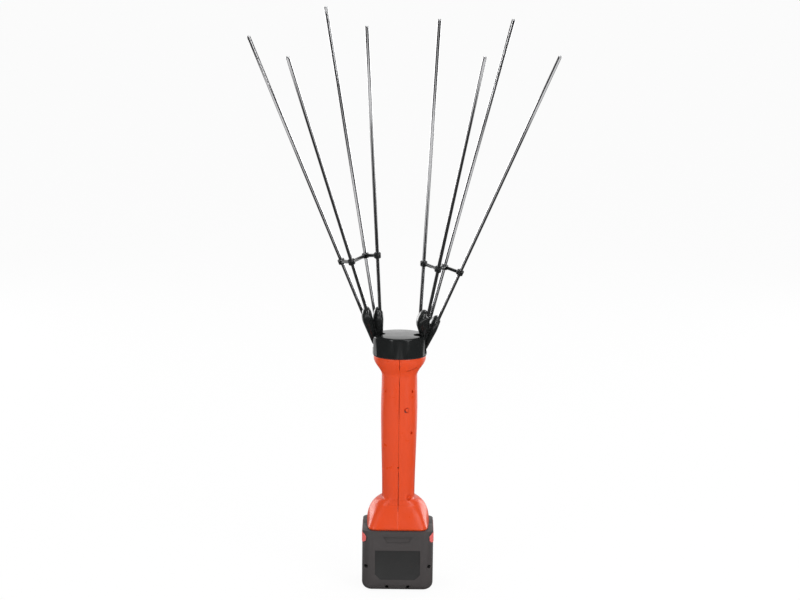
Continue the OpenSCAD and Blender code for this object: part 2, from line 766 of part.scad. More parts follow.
// Arm of the rake that meets at m: hub, plate, spigot, and a tail with a fork round its eccentric
module rake_arm(m, y_from, y_to, plate_y, tail_y, ecc_z) {
    base = m + base_reach * rake_axis(m);
    tine_out = fork_gap + tine_t;
    tine_top = ecc_z + ecc_t / 2;
    tine_from = tail_y > 0 ? -tine_reach : tail_y;
    tine_len = abs(tail_y) + tine_reach + (tail_y > 0 ? tail_t : 0);
    color("darkgray") difference() {
        union() {
            translate([0, y_from, pivot_z]) rotate([-90, 0, 0]) cylinder(r = hub_r, h = y_to - y_from);
            translate([0, plate_y + arm_t, 0]) rotate([90, 0, 0]) linear_extrude(arm_t) hull() {
                translate([0, pivot_z]) circle(hub_r - 0.6, $fn = 32);
                translate([base[0] * 0.95, base[2]]) circle(3.4, $fn = 32);
            }
            rake_frame(m) translate([0, 0, base_reach])
                cylinder(r = spigot_r, h = rod_from - base_reach - 2, $fn = 32);
            translate([0, tail_y + tail_t, 0]) rotate([90, 0, 0]) linear_extrude(tail_t) polygon([
                [-hub_r + 0.4, pivot_z], [-tine_out, tine_top], [-tine_out, tine_top - ecc_t],
                [tine_out, tine_top - ecc_t], [tine_out, tine_top], [hub_r - 0.4, pivot_z]
            ]);
            for (s = [-1, 1]) translate([s > 0 ? fork_gap : -tine_out, tine_from, tine_top - ecc_t])
                cube([tine_t, tine_len, ecc_t]);
        }
        translate([0, -far / 2, pivot_z]) rotate([-90, 0, 0]) cylinder(r = bush_r, h = far);
    }
}

module rake_arm_left() {
    plate_y = arm_split + 0.4;
    rake_arm(meet_left, arm_split + 0.2, hub_end, plate_y, tail_in, ecc_upper_z);
}

module rake_arm_right() {
    plate_y = arm_split - arm_t - 0.4;
    rake_arm(meet_right, -hub_end, arm_split - 0.2, plate_y, -tail_in - tail_t, ecc_lower_z);
}

module arm_bush(y_from, y_to) {
    color("darkgoldenrod") translate([0, y_from, pivot_z]) rotate([-90, 0, 0]) difference() {
        cylinder(r = bush_r, h = y_to - y_from);
        translate([0, 0, -1]) cylinder(r = pivot_d / 2 + run_gap, h = 60);
    }
}

module arm_bush_left() { arm_bush(arm_split + 0.2, hub_end); }
module arm_bush_right() { arm_bush(-hub_end, arm_split - 0.2); }

// Bulb that grips a pair of rods: fullest below its rim, thin at its foot
module bulb(pair, foot) {
    hull() {
        for (k = pair) {
            rotate([0, 0, turn + 90 * k]) rotate([0, bulb_share * spread, 0])
                translate([0, 0, rim_at[k] - bulb_drop]) sphere(d = bulb_d, $fn = 24);
            along_rod(k) translate([0, 0, rim_at[k] - rim_t])
                cylinder(r = rod_d / 2 + rim_wall, h = rim_t, $fn = 24);
        }
        translate([foot[0], 0, foot[1]]) sphere(r = foot[2], $fn = 24);
    }
}

module rake_holder(m) {
    side = sign(m[0]);
    outer = side < 0 ? [2, 3] : [1, 0];
    inner = side < 0 ? [1, 0] : [2, 3];
    color("#161616") rake_frame(m) difference() {
        union() {
            bulb(outer, [side * outer_foot[0], outer_foot[1], outer_foot[2]]);
            bulb(inner, [side * inner_foot[0], inner_foot[1], inner_foot[2]]);
            translate([0, 0, neck_reach]) cylinder(r1 = 3.9, r2 = 6, h = 28);
        }
        translate([0, 0, neck_reach - 9])
            cylinder(r = spigot_r + run_gap, h = rod_from - neck_reach + 7, $fn = 32);
        for (k = [0:3]) along_rod(k) translate([0, 0, rod_from])
            cylinder(r = rod_d / 2 + run_gap, h = 60, $fn = 32);
    }
}

module rake_holder_left() { rake_holder(meet_left); }
module rake_holder_right() { rake_holder(meet_right); }

module rake_rods(m) {
    tip = 0.6;
    color("#6a6c6e") rake_frame(m) for (k = [0:3]) along_rod(k) translate([0, 0, rod_from]) {
        cylinder(r = rod_d / 2, h = rod_reach - rod_from - tip, $fn = 24);
        translate([0, 0, rod_reach - rod_from - tip])
            cylinder(r1 = rod_d / 2, r2 = rod_d / 2 - tip, h = tip, $fn = 24);
    }
}

module rake_rods_left() { rake_rods(meet_left); }
module rake_rods_right() { rake_rods(meet_right); }

// Clip: a ring on each rod where it crosses the clip's plane, and twin rails from ring to ring
clip_t = 4.6;
clip_ring = 1.9;
function clip_normal(m) = unit([sign(m[0]) * tan(lean_out), tan(clip_tilt), 1]);
function clip_point(m, k) =
    let (reach = m[0] < 0 ? clip_reach_left : clip_reach_right, d = rod_dir(m, k))
    m + d * reach / (d * clip_normal(m));
clip_order = [2, 3, 1, 0];

module clip_rail(a, b, n, off, t, h) {
    u = unit(b - a);
    v = cross(n, u);
    multmatrix([
        [u[0], v[0], n[0], a[0]], [u[1], v[1], n[1], a[1]], [u[2], v[2], n[2], a[2]], [0, 0, 0, 1]
    ]) translate([0, off - t / 2, -h / 2]) cube([norm(b - a), t, h]);
}

module rod_clip(m) {
    n = clip_normal(m);
    color("#1a1a1a") difference() {
        union() {
            for (k = [0:3]) rake_frame(m) along_rod(k)
                translate([0, 0, norm(clip_point(m, k) - m) - clip_t / 2])
                    cylinder(r = rod_d / 2 + clip_ring, h = clip_t, $fn = 32);
            for (i = [0:2]) {
                a = clip_point(m, clip_order[i]);
                b = clip_point(m, clip_order[i + 1]);
                half_bar = unit(b - a) * 0.5;
                for (off = [-1.5, 1.5]) clip_rail(a, b, n, off, 1, 3);
                for (t = [0.3, 0.5, 0.7])
                    clip_rail(mix(a, b, t) - half_bar, mix(a, b, t) + half_bar, n, 0, 3, 2.2);
            }
        }
        for (k = [0:3]) rake_frame(m) along_rod(k) translate([0, 0, rod_from])
            cylinder(r = rod_d / 2 + run_gap, h = rod_reach, $fn = 32);
    }
}

module rod_clip_left() { rod_clip(meet_left); }
module rod_clip_right() { rod_clip(meet_right); }

// Pack: rings of a rounded block whose bottom edge is rounded too
function pack_rings(inset, low, high) = concat(
    [for (i = [0:5]) let (a = 15 + 15 * i, r = battery_round - inset)
        pack_ring(inset + r - r * sin(a), inset, low + r - r * cos(a))],
    [pack_ring(inset, inset, high)]
);
function pack_ring(in, inset, z) =
    at_z(rounded_rect(battery_w / 2 - in, battery_d / 2 - in, battery_corner - inset, 6), z);

module pack_block(inset, low, high) {
    loft(concat([pack_ring(battery_round, inset, low)], pack_rings(inset, low, high)));
}

// Release button seen from above; the pocket round it leaves room to press
module pad_outline(side, room, gap) {
    x = side * battery_w / 2;
    translate([x, 0]) square([2 * (pad_t + room), pad_len + 2 * gap], center = true);
}

// Room inside the tower for the top cell
module tower_room() {
    room = tower_w - 2 * tower_wall;
    low = battery_h - 10;
    translate([-room / 2, -room / 2, low]) cube([room, room, tower_top - tower_lid - low]);
}

module pack_solid() {
    pocket_x = pad_in - press_room - battery_wall;
    slot_x = finger_x - latch_travel - clear;
    difference() {
        union() {
            difference() {
                pack_block(0, 0, battery_h);
                pack_block(battery_wall, battery_wall, battery_h - battery_wall);
            }
            translate([-tower_w / 2, -tower_w / 2, battery_h - battery_wall])
                cube([tower_w, tower_w, tower_top - battery_h + battery_wall]);
            for (s = pack_screw_at) translate([s[0], 0, s[1]]) rotate([90, 0, 0])
                cylinder(r = pack_boss_r, h = battery_d - 6, center = true, $fn = 32);
            for (s = [0, 1]) mirror([s, 0, 0]) {
                translate([pocket_x, -battery_d / 2 + 3, pad_low - 2.2])
                    cube([pad_in - 0.5 - pocket_x, battery_d - 6, battery_h - pad_low + 1]);
                translate([seat_wall_x, -6, latch_spring_z - 6])
                    cube([seat_wall_t, 12, battery_h - latch_spring_z + 5]);
            }
        }
        tower_room();
        for (s = [0, 1]) mirror([s, 0, 0]) {
            translate([0, 0, pad_low - clear]) linear_extrude(pad_top - pad_low + 2 * clear)
                pad_outline(1, press_room, clear);
            translate([slot_x, -finger_w / 2 - clear, tongue_z - clear])
                cube([pad_in + 1 - slot_x, finger_w + 2 * clear, tongue_h + 2 * clear]);
            translate([slot_x, -finger_w / 2 - clear, tongue_z - clear])
                cube([finger_x + finger_t + clear - slot_x, finger_w + 2 * clear, 30]);
        }
        pack_front_cuts();
    }
}

// Recesses of the front face: bare panel, grip slot and the screws' holes
module pack_front_cuts() {
    front = -battery_d / 2;
    cut = 6;
    translate([0, front + 0.8, 0]) rotate([90, 0, 0]) linear_extrude(5) polygon([
        [-panel_w / 2, panel_z[1]], [-panel_w / 2, panel_z[0] + cut], [-panel_w / 2 + cut, panel_z[0]],
        [panel_w / 2 - cut, panel_z[0]], [panel_w / 2, panel_z[0] + cut], [panel_w / 2, panel_z[1]]
    ]);
    translate([0, front + 1.2, 0]) rotate([90, 0, 0]) linear_extrude(5) polygon([
        [-16, slot_z[1]], [-12, slot_z[0]], [12, slot_z[0]], [16, slot_z[1]]
    ]);
    for (s = pack_screw_at) translate([s[0], 0, s[1]]) rotate([90, 0, 0]) {
        translate([0, 0, battery_d / 2 - pack_screw_in]) cylinder(r = pack_hole_r, h = far, $fn = 32);
        translate([0, 0, -battery_d / 2 + 1.5 * pack_screw_in])
            cylinder(r = screw_r + run_gap, h = battery_d, $fn = 24);
    }
}

module battery_case_front() {
    color("#444040") difference() {
        pack_solid();
        translate([-far / 2, 0, -far / 2]) cube(far);
    }
}

module battery_case_back() {
    color("#444040") difference() {
        pack_solid();
        translate([-far / 2, -far, -far / 2]) cube(far);
    }
}

module battery_cells() {
    color("mediumseagreen") {
        for (i = [0:cell_cols - 1]) for (j = [0:cell_rows - 1])
            translate([i * cell_pitch - cell_span_x / 2, j * cell_pitch - cell_span_y / 2, cell_z])
                cylinder(d = cell_d, h = cell_l);
        translate([0, 0, top_cell_z]) cylinder(d = cell_d, h = cell_l);
    }
}

module battery_screws() {
    color("#303030") for (s = pack_screw_at) translate([s[0], -battery_d / 2 + pack_screw_in, s[1]])
        rotate([90, 0, 0]) screw(pack_hole_r - 0.15, battery_d - 3 * pack_screw_in);
}

module battery_contacts() {
    color("gold") for (s = [-1, 1]) translate([s * 7 - 2.5, -6, tower_top]) cube([5, 12, 0.3]);
}

// Release button: pad that follows the pack's side, tongue, and finger with a hook under the skirt's edge
module latch_button(side) {
    color("orangered") union() {
        intersection() {
            pack_block(-0.4, -0.4, pad_top);
            translate([0, 0, pad_low]) linear_extrude(battery_h) pad_outline(side, 0, 0);
        }
        mirror([side > 0 ? 0 : 1, 0, 0]) translate([finger_x, -finger_w / 2, tongue_z]) {
            cube([pad_in - finger_x + 0.5, finger_w, tongue_h]);
            cube([finger_t, finger_w, hook_top - tongue_z]);
            translate([finger_t, finger_w, hook_top - tongue_z - 3.4]) rotate([90, 0, 0])
                linear_extrude(finger_w) polygon([[-0.1, 0], [0.8, 0], [-0.1, 3.4]]);
        }
    }
}

module latch_button_left() { latch_button(-1); }
module latch_button_right() { latch_button(1); }

latch_wire = 0.7;

module latch_spring(side) {
    from = seat_wall_x + seat_wall_t + 0.1;
    color("gainsboro") mirror([side > 0 ? 0 : 1, 0, 0]) translate([from, 0, latch_spring_z])
        rotate([0, 90, 0]) coil_spring(2.4, finger_x - from - 0.1, 4, latch_wire);
}

module latch_spring_left() { latch_spring(-1); }
module latch_spring_right() { latch_spring(1); }

handle_shell_left();
handle_shell_right();
shell_screws();
head_cap();
cap_screws();
head_gasket();
head_frame();
pivot_pin();
pivot_clips();
crank_bearing_upper();
crank_bearing_lower();
ring_gear();
gearbox_cover();
motor_can();
motor_magnets();
motor_endbell();
switch_body();
terminal_block();
terminal_blades();
inner_leads();
motor_shaft();
armature();
commutator();
sun_gear();
planet_carrier();
crank_shaft();
eccentric_upper();
eccentric_lower();
planet_gear_1();
planet_gear_2();
planet_gear_3();
rake_arm_left();
arm_bush_left();
rake_holder_left();
rake_rods_left();
rod_clip_left();
rake_arm_right();
arm_bush_right();
rake_holder_right();
rake_rods_right();
rod_clip_right();
battery_case_front();
battery_case_back();
battery_cells();
battery_screws();
battery_contacts();
latch_button_left();
latch_spring_left();
latch_button_right();
latch_spring_right();
switch_button();
switch_spring();
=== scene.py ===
"""Dresses the olive harvester: moulded housing, cap, rod holders, rods, battery pack and a plain studio."""

import json
import math

import bmesh
import bpy
from mathutils import Matrix, Vector


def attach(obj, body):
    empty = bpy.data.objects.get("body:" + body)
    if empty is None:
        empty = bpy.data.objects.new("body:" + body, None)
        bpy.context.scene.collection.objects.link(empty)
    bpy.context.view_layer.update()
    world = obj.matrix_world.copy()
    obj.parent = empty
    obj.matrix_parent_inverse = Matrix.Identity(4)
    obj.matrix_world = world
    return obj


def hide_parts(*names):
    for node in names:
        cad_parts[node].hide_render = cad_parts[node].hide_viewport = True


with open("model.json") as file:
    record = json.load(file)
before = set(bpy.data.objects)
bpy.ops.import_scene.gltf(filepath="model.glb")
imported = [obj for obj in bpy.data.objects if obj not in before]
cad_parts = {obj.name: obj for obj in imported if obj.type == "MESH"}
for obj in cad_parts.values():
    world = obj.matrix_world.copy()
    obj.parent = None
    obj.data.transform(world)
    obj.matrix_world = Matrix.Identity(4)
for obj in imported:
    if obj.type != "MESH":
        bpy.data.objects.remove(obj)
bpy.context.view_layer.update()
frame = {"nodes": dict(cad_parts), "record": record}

bl_info = {
    "name": "Olive harvester",
    "version": (1, 0, 0),
    "blender": (4, 5, 0),
    "location": "3D View > Sidebar > Harvester",
    "description": "Builds the looks of an electric olive harvester round its CAD frame",
    "category": "Object",
}

MM = 0.001

# Turns in degrees that point a bar to the front or the back
FORWARD, BACKWARD = (90, 0, 0), (-90, 0, 0)


# Sizes and colours that a user would change


def length(name, description, value):
    return bpy.props.FloatProperty(name=name, description=description, default=value, unit="LENGTH")


class HarvesterSizes(bpy.types.PropertyGroup):
    """Sizes of the harvester's dressed pieces."""

    skirt_width: length("Skirt width", "Width of the skirt at its foot", 0.070)
    skirt_depth: length("Skirt depth", "Depth of the skirt at its foot", 0.068)
    panel_width: length("Panel width", "Width of the skirt's front panel at its foot", 0.066)
    grip_width: length("Grip width", "Width of the grip at its fullest", 0.0412)
    grip_depth: length("Grip depth", "Depth of the grip at its fullest", 0.046)
    wall: length("Wall", "Wall of the housing", 0.0024)
    cap_radius: length("Cap radius", "Radius of the head's cap", 0.0305)
    cap_fillet: length("Cap fillet", "Rounding of the cap's top edge", 0.0024)
    bulb_radius: length("Bulb radius", "Half width of the left holder's outer bulb", 0.0056)
    rod_radius: length("Rod radius", "Radius of a rod", 0.002)
    pack_corner: length("Pack corner", "Radius of the pack's upright corners", 0.012)
    pack_round: length("Pack rounding", "Rounding of the pack's bottom edge", 0.0085)


def colour(name, description, value):
    return bpy.props.FloatVectorProperty(
        name=name, description=description, subtype="COLOR", size=3, min=0, max=1, default=value)


class HarvesterColours(bpy.types.PropertyGroup):
    """Colours of the harvester's finishes."""

    housing: colour("Housing", "Orange of the moulded housing", (0.70, 0.060, 0.008))
    black: colour("Black plastic", "Cap, rod holders and clips", (0.011, 0.012, 0.012))
    pack: colour("Pack", "Warm grey of the battery pack", (0.056, 0.050, 0.050))
    panel: colour("Panel", "Darker bare panel on the pack", (0.030, 0.030, 0.030))
    button: colour("Button", "Red of the release buttons", (0.75, 0.13, 0.12))
    rod: colour("Rod", "Grey of the drawn rods", (0.60, 0.60, 0.61))
    floor: colour("Floor", "Pale floor", (0.94, 0.94, 0.94))


# Small helpers for work by operators


def leave_edit():
    if bpy.context.mode != "OBJECT":
        bpy.ops.object.mode_set(mode="OBJECT")


def hold(piece):
    """Leaves piece as the only selected and active object."""
    leave_edit()
    bpy.ops.object.select_all(action="DESELECT")
    piece.select_set(True)
    bpy.context.view_layer.objects.active = piece


def start(name):
    """Names the primitive that was just added."""
    piece = bpy.context.active_object
    piece.name = name
    piece.data.name = name
    return piece


def free():
    """Nothing is selected, so that the next primitive stands alone."""
    leave_edit()
    bpy.ops.object.select_all(action="DESELECT")


def edit(piece):
    hold(piece)
    bpy.ops.object.mode_set(mode="EDIT")


def pick(piece, kind, test):
    """Selects the vertices, edges or faces of the piece that pass the test."""
    bpy.ops.mesh.select_mode(type=kind)
    bpy.ops.mesh.select_all(action="DESELECT")
    mesh = bmesh.from_edit_mesh(piece.data)
    mesh.normal_update()
    for item in {"VERT": mesh.verts, "EDGE": mesh.edges, "FACE": mesh.faces}[kind]:
        if test(item):
            item.select_set(True)
    mesh.select_flush_mode()
    bmesh.update_edit_mesh(piece.data)


def settle(piece):
    """Puts the place, turn and scale of the object into its mesh."""
    hold(piece)
    bpy.ops.object.transform_apply(location=True, rotation=True, scale=True)


def apply_all(piece):
    hold(piece)
    for modifier in list(piece.modifiers):
        bpy.ops.object.modifier_apply(modifier=modifier.name)


def cut(piece, cutters, operation="DIFFERENCE"):
    """Takes the cutters out of the piece, or joins them to it, and removes them."""
    for cutter in cutters:
        tool = piece.modifiers.new("cut", "BOOLEAN")
        tool.operation = operation
        tool.solver = "EXACT"
        tool.object = cutter
        apply_all(piece)
        bpy.data.objects.remove(cutter)


def ease_edges(piece, width, segments=2, angle=40):
    """Rounds the piece's sharp edges."""
    tool = piece.modifiers.new("ease", "BEVEL")
    tool.width = width
    tool.segments = segments
    tool.limit_method = "ANGLE"
    tool.angle_limit = math.radians(angle)
    tool.use_clamp_overlap = True
    apply_all(piece)


def tidy_mesh(piece):
    edit(piece)
    bpy.ops.mesh.select_all(action="SELECT")
    bpy.ops.mesh.remove_doubles(threshold=1e-6)
    bpy.ops.mesh.normals_make_consistent(inside=False)
    leave_edit()


def smooth(piece, angle=35):
    hold(piece)
    bpy.ops.object.shade_smooth_by_angle(angle=math.radians(angle))


def dress(piece, body, slot, material, *nodes):
    """Gives a finished piece its body and material and hides the CAD nodes that it stands for; slot is not used.
    """
    piece.data.materials.clear()
    piece.data.materials.append(material)
    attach(piece, body)
    if nodes:
        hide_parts(*nodes)


def block(low, high):
    """A box between two corners, in millimetres, with its place in its mesh."""
    free()
    low, high = Vector(low), Vector(high)
    bpy.ops.mesh.primitive_cube_add(size=1, location=(low + high) / 2 * MM)
    piece = start("block")
    piece.scale = (high - low) * MM
    settle(piece)
    return piece


def turns_of(degrees):
    """Turns about X, Y and Z."""
    return [Matrix.Rotation(math.radians(a), 4, axis) for a, axis in zip(degrees, "XYZ")]


def place_at(piece, matrix):
    """Moves the piece by a matrix, which goes into its mesh."""
    piece.matrix_world = matrix
    settle(piece)


def bar(radius, length, place, turn=(0, 0, 0), vertices=32):
    """A round bar from place along its own Z, in millimetres and degrees."""
    free()
    bpy.ops.mesh.primitive_cylinder_add(
        vertices=vertices, radius=radius * MM, depth=length * MM, location=(0, 0, length / 2 * MM))
    piece = start("bar")
    settle(piece)
    x, y, z = turns_of(turn)
    place_at(piece, Matrix.Translation(Vector(place) * MM) @ z @ y @ x)
    return piece


# Finishes


def shader_of(name):
    material = bpy.data.materials.new(name)
    material.use_nodes = True
    tree = material.node_tree
    return material, tree, tree.nodes["Principled BSDF"]


def join(tree, out, into):
    tree.links.new(out, into)


def speckle(tree, scale, detail, stretch=(1, 1, 1)):
    """Noise on the object's own coordinates."""
    place = tree.nodes.new("ShaderNodeTexCoord")
    turn = tree.nodes.new("ShaderNodeMapping")
    turn.inputs["Scale"].default_value = stretch
    noise = tree.nodes.new("ShaderNodeTexNoise")
    noise.inputs["Scale"].default_value = scale
    noise.inputs["Detail"].default_value = detail
    join(tree, place.outputs["Object"], turn.inputs["Vector"])
    join(tree, turn.outputs["Vector"], noise.inputs["Vector"])
    return noise


def span(tree, value, low, high, from_low=0.3, from_high=0.7):
    """Maps a value to the span between low and high."""
    node = tree.nodes.new("ShaderNodeMapRange")
    node.inputs["From Min"].default_value = from_low
    node.inputs["From Max"].default_value = from_high
    node.inputs["To Min"].default_value = low
    node.inputs["To Max"].default_value = high
    join(tree, value, node.inputs["Value"])
    return node.outputs["Result"]


def step(tree, value, low, high):
    """Rises smoothly from 0 at low to 1 at high."""
    node = tree.nodes.new("ShaderNodeMapRange")
    node.interpolation_type = "SMOOTHSTEP"
    node.inputs["From Min"].default_value = low
    node.inputs["From Max"].default_value = high
    join(tree, value, node.inputs["Value"])
    return node.outputs["Result"]


def compute(tree, kind, first, second=None):
    """One step of arithmetic; a plain number is set on its socket."""
    node = tree.nodes.new("ShaderNodeMath")
    node.operation = kind
    for socket, value in zip(node.inputs, (first, second)):
        if isinstance(value, bpy.types.NodeSocket):
            join(tree, value, socket)
        elif value is not None:
            socket.default_value = value
    return node.outputs[0]


def parts_of(tree, output):
    """X, Y and Z of the coordinates on the named output."""
    place = tree.nodes.new("ShaderNodeTexCoord")
    parts = tree.nodes.new("ShaderNodeSeparateXYZ")
    join(tree, place.outputs[output], parts.inputs[0])
    return parts.outputs


# Colour sockets of a Mix node
COLOUR_A, COLOUR_B, COLOUR_OUT = 6, 7, 2


def blend_colours(tree, factor, first, second):
    """Mixes two colours, each given as a value or as a socket."""
    node = tree.nodes.new("ShaderNodeMix")
    node.data_type = "RGBA"
    join(tree, factor, node.inputs["Factor"])
    for socket, value in ((node.inputs[COLOUR_A], first), (node.inputs[COLOUR_B], second)):
        if isinstance(value, bpy.types.NodeSocket):
            join(tree, value, socket)
        else:
            socket.default_value = (*value, 1)
    return node.outputs[COLOUR_OUT]


def shade(value, factor):
    return tuple(min(1, c * factor) for c in value)


def grain(tree, shader, scale, height, strength):
    """Fine moulded or drawn grain as bump."""
    noise = speckle(tree, scale, 3)
    bump = tree.nodes.new("ShaderNodeBump")
    bump.inputs["Strength"].default_value = strength
    bump.inputs["Distance"].default_value = height
    join(tree, noise.outputs["Fac"], bump.inputs["Height"])
    join(tree, bump.outputs["Normal"], shader.inputs["Normal"])


def painted_edge_highlight(tree, base, highlight_tone):
    """Painted highlight: lightens the colour along outer edges, where their rounding catches the light."""
    shape = tree.nodes.new("ShaderNodeNewGeometry")
    edge = span(tree, shape.outputs["Pointiness"], 0, 0.45, 0.52, 0.60)
    return blend_colours(tree, edge, base, highlight_tone)


# The edge factor lightens outer edges as a painted highlight
DRIFT_SCALE, RUB_SCALE, EDGE_HIGHLIGHT = 28, 90, 1.25
MOULD_GRAIN, METAL_GRAIN, ROD_GRAIN = 0.00025, 0.0001, 0.00008
ROD_STREAKS = (1, 1, 0.04)


def moulded(name, base, rough, grain_scale=1400, grain_strength=0.12, drift=0.06, specular=0.5):
    """Moulded plastic: slight drift of colour and gloss, fine grain, and outer edges painted paler as a highlight.
    """
    material, tree, shader = shader_of(name)
    drift_noise = speckle(tree, DRIFT_SCALE, 4)
    tone = blend_colours(tree, drift_noise.outputs["Fac"], shade(base, 1 - drift), shade(base, 1 + drift))
    # Outer edges lightened by pointiness: painted highlight
    join(tree, painted_edge_highlight(tree, tone, shade(base, EDGE_HIGHLIGHT)), shader.inputs["Base Color"])
    rub = speckle(tree, RUB_SCALE, 5)
    join(tree, span(tree, rub.outputs["Fac"], rough - 0.05, rough + 0.07), shader.inputs["Roughness"])
    shader.inputs["Specular IOR Level"].default_value = specular
    grain(tree, shader, grain_scale, MOULD_GRAIN, grain_strength)
    return material


def metal(name, base, rough, scale=400):
    """Bare metal with a drift of tone and fine working marks."""
    material, tree, shader = shader_of(name)
    shader.inputs["Metallic"].default_value = 1
    marks = speckle(tree, scale, 4)
    tone = blend_colours(tree, marks.outputs["Fac"], shade(base, 0.85), shade(base, 1.1))
    join(tree, tone, shader.inputs["Base Color"])
    join(tree, span(tree, marks.outputs["Fac"], rough - 0.08, rough + 0.1), shader.inputs["Roughness"])
    grain(tree, shader, scale * 3, METAL_GRAIN, 0.1)
    return material


def drawn_rod(name, base):
    """Drawn rod: bright metal with long streaks of tone and gloss."""
    material, tree, shader = shader_of(name)
    streaks = speckle(tree, 900, 3, ROD_STREAKS)
    tone = blend_colours(tree, streaks.outputs["Fac"], shade(base, 0.85), shade(base, 1.12))
    join(tree, tone, shader.inputs["Base Color"])
    shader.inputs["Metallic"].default_value = 1
    join(tree, span(tree, streaks.outputs["Fac"], 0.03, 0.08), shader.inputs["Roughness"])
    grain(tree, shader, 2500, ROD_GRAIN, 0.08)
    return material


FINISHES = {}


def make_finishes(colours):
    """All the finishes, by the record's slot names where they serve CAD nodes.

    After its name and colour, a moulded finish has its roughness, the scale and strength of its grain,
    its drift of colour and its specular level.
    """
    FINISHES.update({
        "shell_orange": moulded("housing_orange", colours.housing, 0.32, 1600, 0.05, 0.05, 0.4),
        "black_plastic": moulded("black_plastic", colours.black, 0.14, 1200, 0.03, 0.12, 0.3),
        "satin_black": moulded("satin_black", colours.black, 0.18, 1200, 0.02, 0.12, 1.0),
        "pack_grey": moulded("pack_grey", colours.pack, 0.55, 1500, 0.20, 0.08, 0.3),
        "panel_grey": moulded("panel_grey", colours.panel, 0.5, 1900, 0.26, 0.08, 0.3),
        "button_red": moulded("button_red", colours.button, 0.40, 1500, 0.10, 0.05),
        "dark_plastic": moulded("dark_plastic", (0.02, 0.02, 0.02), 0.45),
        "gasket_rubber": moulded("gasket_rubber", (0.014, 0.014, 0.014), 0.75, 900, 0.2),
        "lead_cover": moulded("lead_cover", (0.33, 0.02, 0.02), 0.5, 700, 0.2),
        "rod_composite": drawn_rod("rod_grey", colours.rod),
        "screw_steel": metal("screw_black", (0.12, 0.12, 0.12), 0.4),
        "bare_steel": metal("bare_steel", (0.56, 0.56, 0.57), 0.3),
        "cast_alloy": metal("cast_alloy", (0.48, 0.48, 0.49), 0.5, scale=700),
        "brass": metal("brass", (0.65, 0.46, 0.18), 0.32),
        "magnet": moulded("magnet", (0.04, 0.04, 0.045), 0.6, 600, 0.3),
        "cell_can": moulded("cell_wrap", (0.08, 0.30, 0.16), 0.35, 500, 0.1),
    })


# Shape of the housing at a height, in millimetres

FOOT_Z, DOME_Z, GRIP_Z, NECK_Z, SEAT_Z = 69.3, 75.0, 104.0, 242.5, 264.5
SWELL_Z = GRIP_Z + (NECK_Z - GRIP_Z) * 0.73
FLARE_Z = SEAT_Z - 3
REBATE_Z = FOOT_Z + 1.3
DOME_TOP, SKIRT_TOP = GRIP_Z - 3, GRIP_Z - 9
FOOT_GRIP_WIDTH, FOOT_GRIP_DEPTH, NECK_WIDTH, NECK_DEPTH = 36.8, 42.0, 40.0, 43.0
HEAD_INSET, FOOT_BAND, REBATE_DEPTH = 2.4, 2, 1.1
GRIP_SQUARENESS, SKIRT_SQUARENESS, HEAD_SQUARENESS = 2.5, 9, 2
SQUARE_OVER, SOFT_CORNER = 18, 0.15

# Seam: heights between which it is deep, length over which it opens, and its half gaps in millimetres

SEAM_DEEP, SEAM_EASE = ((88, 130), (198, 236), (250, 300)), 4
SEAM_CLOSED, SEAM_OPEN, SEAM_MIDDLE = 0.02, 0.33, 0.12
MIDDLE_LOW, MIDDLE_HIGH = 130, 200


def ease(t):
    """Smooth rise from 0 to 1."""
    t = min(max(t, 0), 1)
    return t * t * (3 - 2 * t)


def mix(a, b, t):
    return a + (b - a) * t


def along_grip(z, foot, swell, neck, head):
    """Size at a height between those at the grip's foot, its fullest, the neck and the head."""
    size = mix(foot, swell, ease((z - GRIP_Z) / (SWELL_Z - GRIP_Z)))
    size = mix(size, neck, ease((z - SWELL_Z) / (NECK_Z - SWELL_Z)))
    return mix(size, head, ease((z - NECK_Z) / (FLARE_Z - NECK_Z)))


def section(z, sizes):
    """Half width, half depth and squareness of the housing, and the slant of its sides."""
    head = 2 * sizes.cap_radius / MM - HEAD_INSET
    if z < GRIP_Z:
        rise = min(max((z - DOME_Z) / (DOME_TOP - DOME_Z), 0), 1)
        low = min(max((SKIRT_TOP - z) / (SKIRT_TOP - FOOT_Z - FOOT_BAND), 0), 1)
        wide = mix(FOOT_GRIP_WIDTH, sizes.skirt_width / MM, math.sqrt(1 - rise * rise)) / 2
        deep = mix(FOOT_GRIP_DEPTH, sizes.skirt_depth / MM, low) / 2
        panel = mix(FOOT_GRIP_WIDTH, sizes.panel_width / MM, low) / 2
        power = mix(GRIP_SQUARENESS, SKIRT_SQUARENESS, ease((GRIP_Z - z) / SQUARE_OVER))
        return wide, deep, power, max(0, wide - panel) / deep
    wide = along_grip(z, FOOT_GRIP_WIDTH, sizes.grip_width / MM, NECK_WIDTH, head)
    deep = along_grip(z, FOOT_GRIP_DEPTH, sizes.grip_depth / MM, NECK_DEPTH, head)
    power = mix(GRIP_SQUARENESS, HEAD_SQUARENESS, ease((z - NECK_Z) / (FLARE_Z - NECK_Z)))
    return wide / 2, deep / 2, power, 0


def reach(z, a, sizes):
    """Distance from the axis to the housing's outline in the direction a."""
    wide, deep, power, slant = section(z, sizes)
    rise = math.hypot(math.sin(a), SOFT_CORNER) - SOFT_CORNER
    side = (abs(math.cos(a)) + slant * rise) / wide
    front = abs(math.sin(a)) / deep
    inset = REBATE_DEPTH if z < REBATE_Z else 0
    return (side ** power + front ** power) ** (-1 / power) - inset


def seam(z):
    """Half of the gap between the housing's halves, open where the moulding's line is deep."""
    deep = max(ease((z - low) / SEAM_EASE) - ease((z - high) / SEAM_EASE) for low, high in SEAM_DEEP)
    return SEAM_CLOSED + SEAM_OPEN * deep + (SEAM_MIDDLE if MIDDLE_LOW < z < MIDDLE_HIGH else 0)


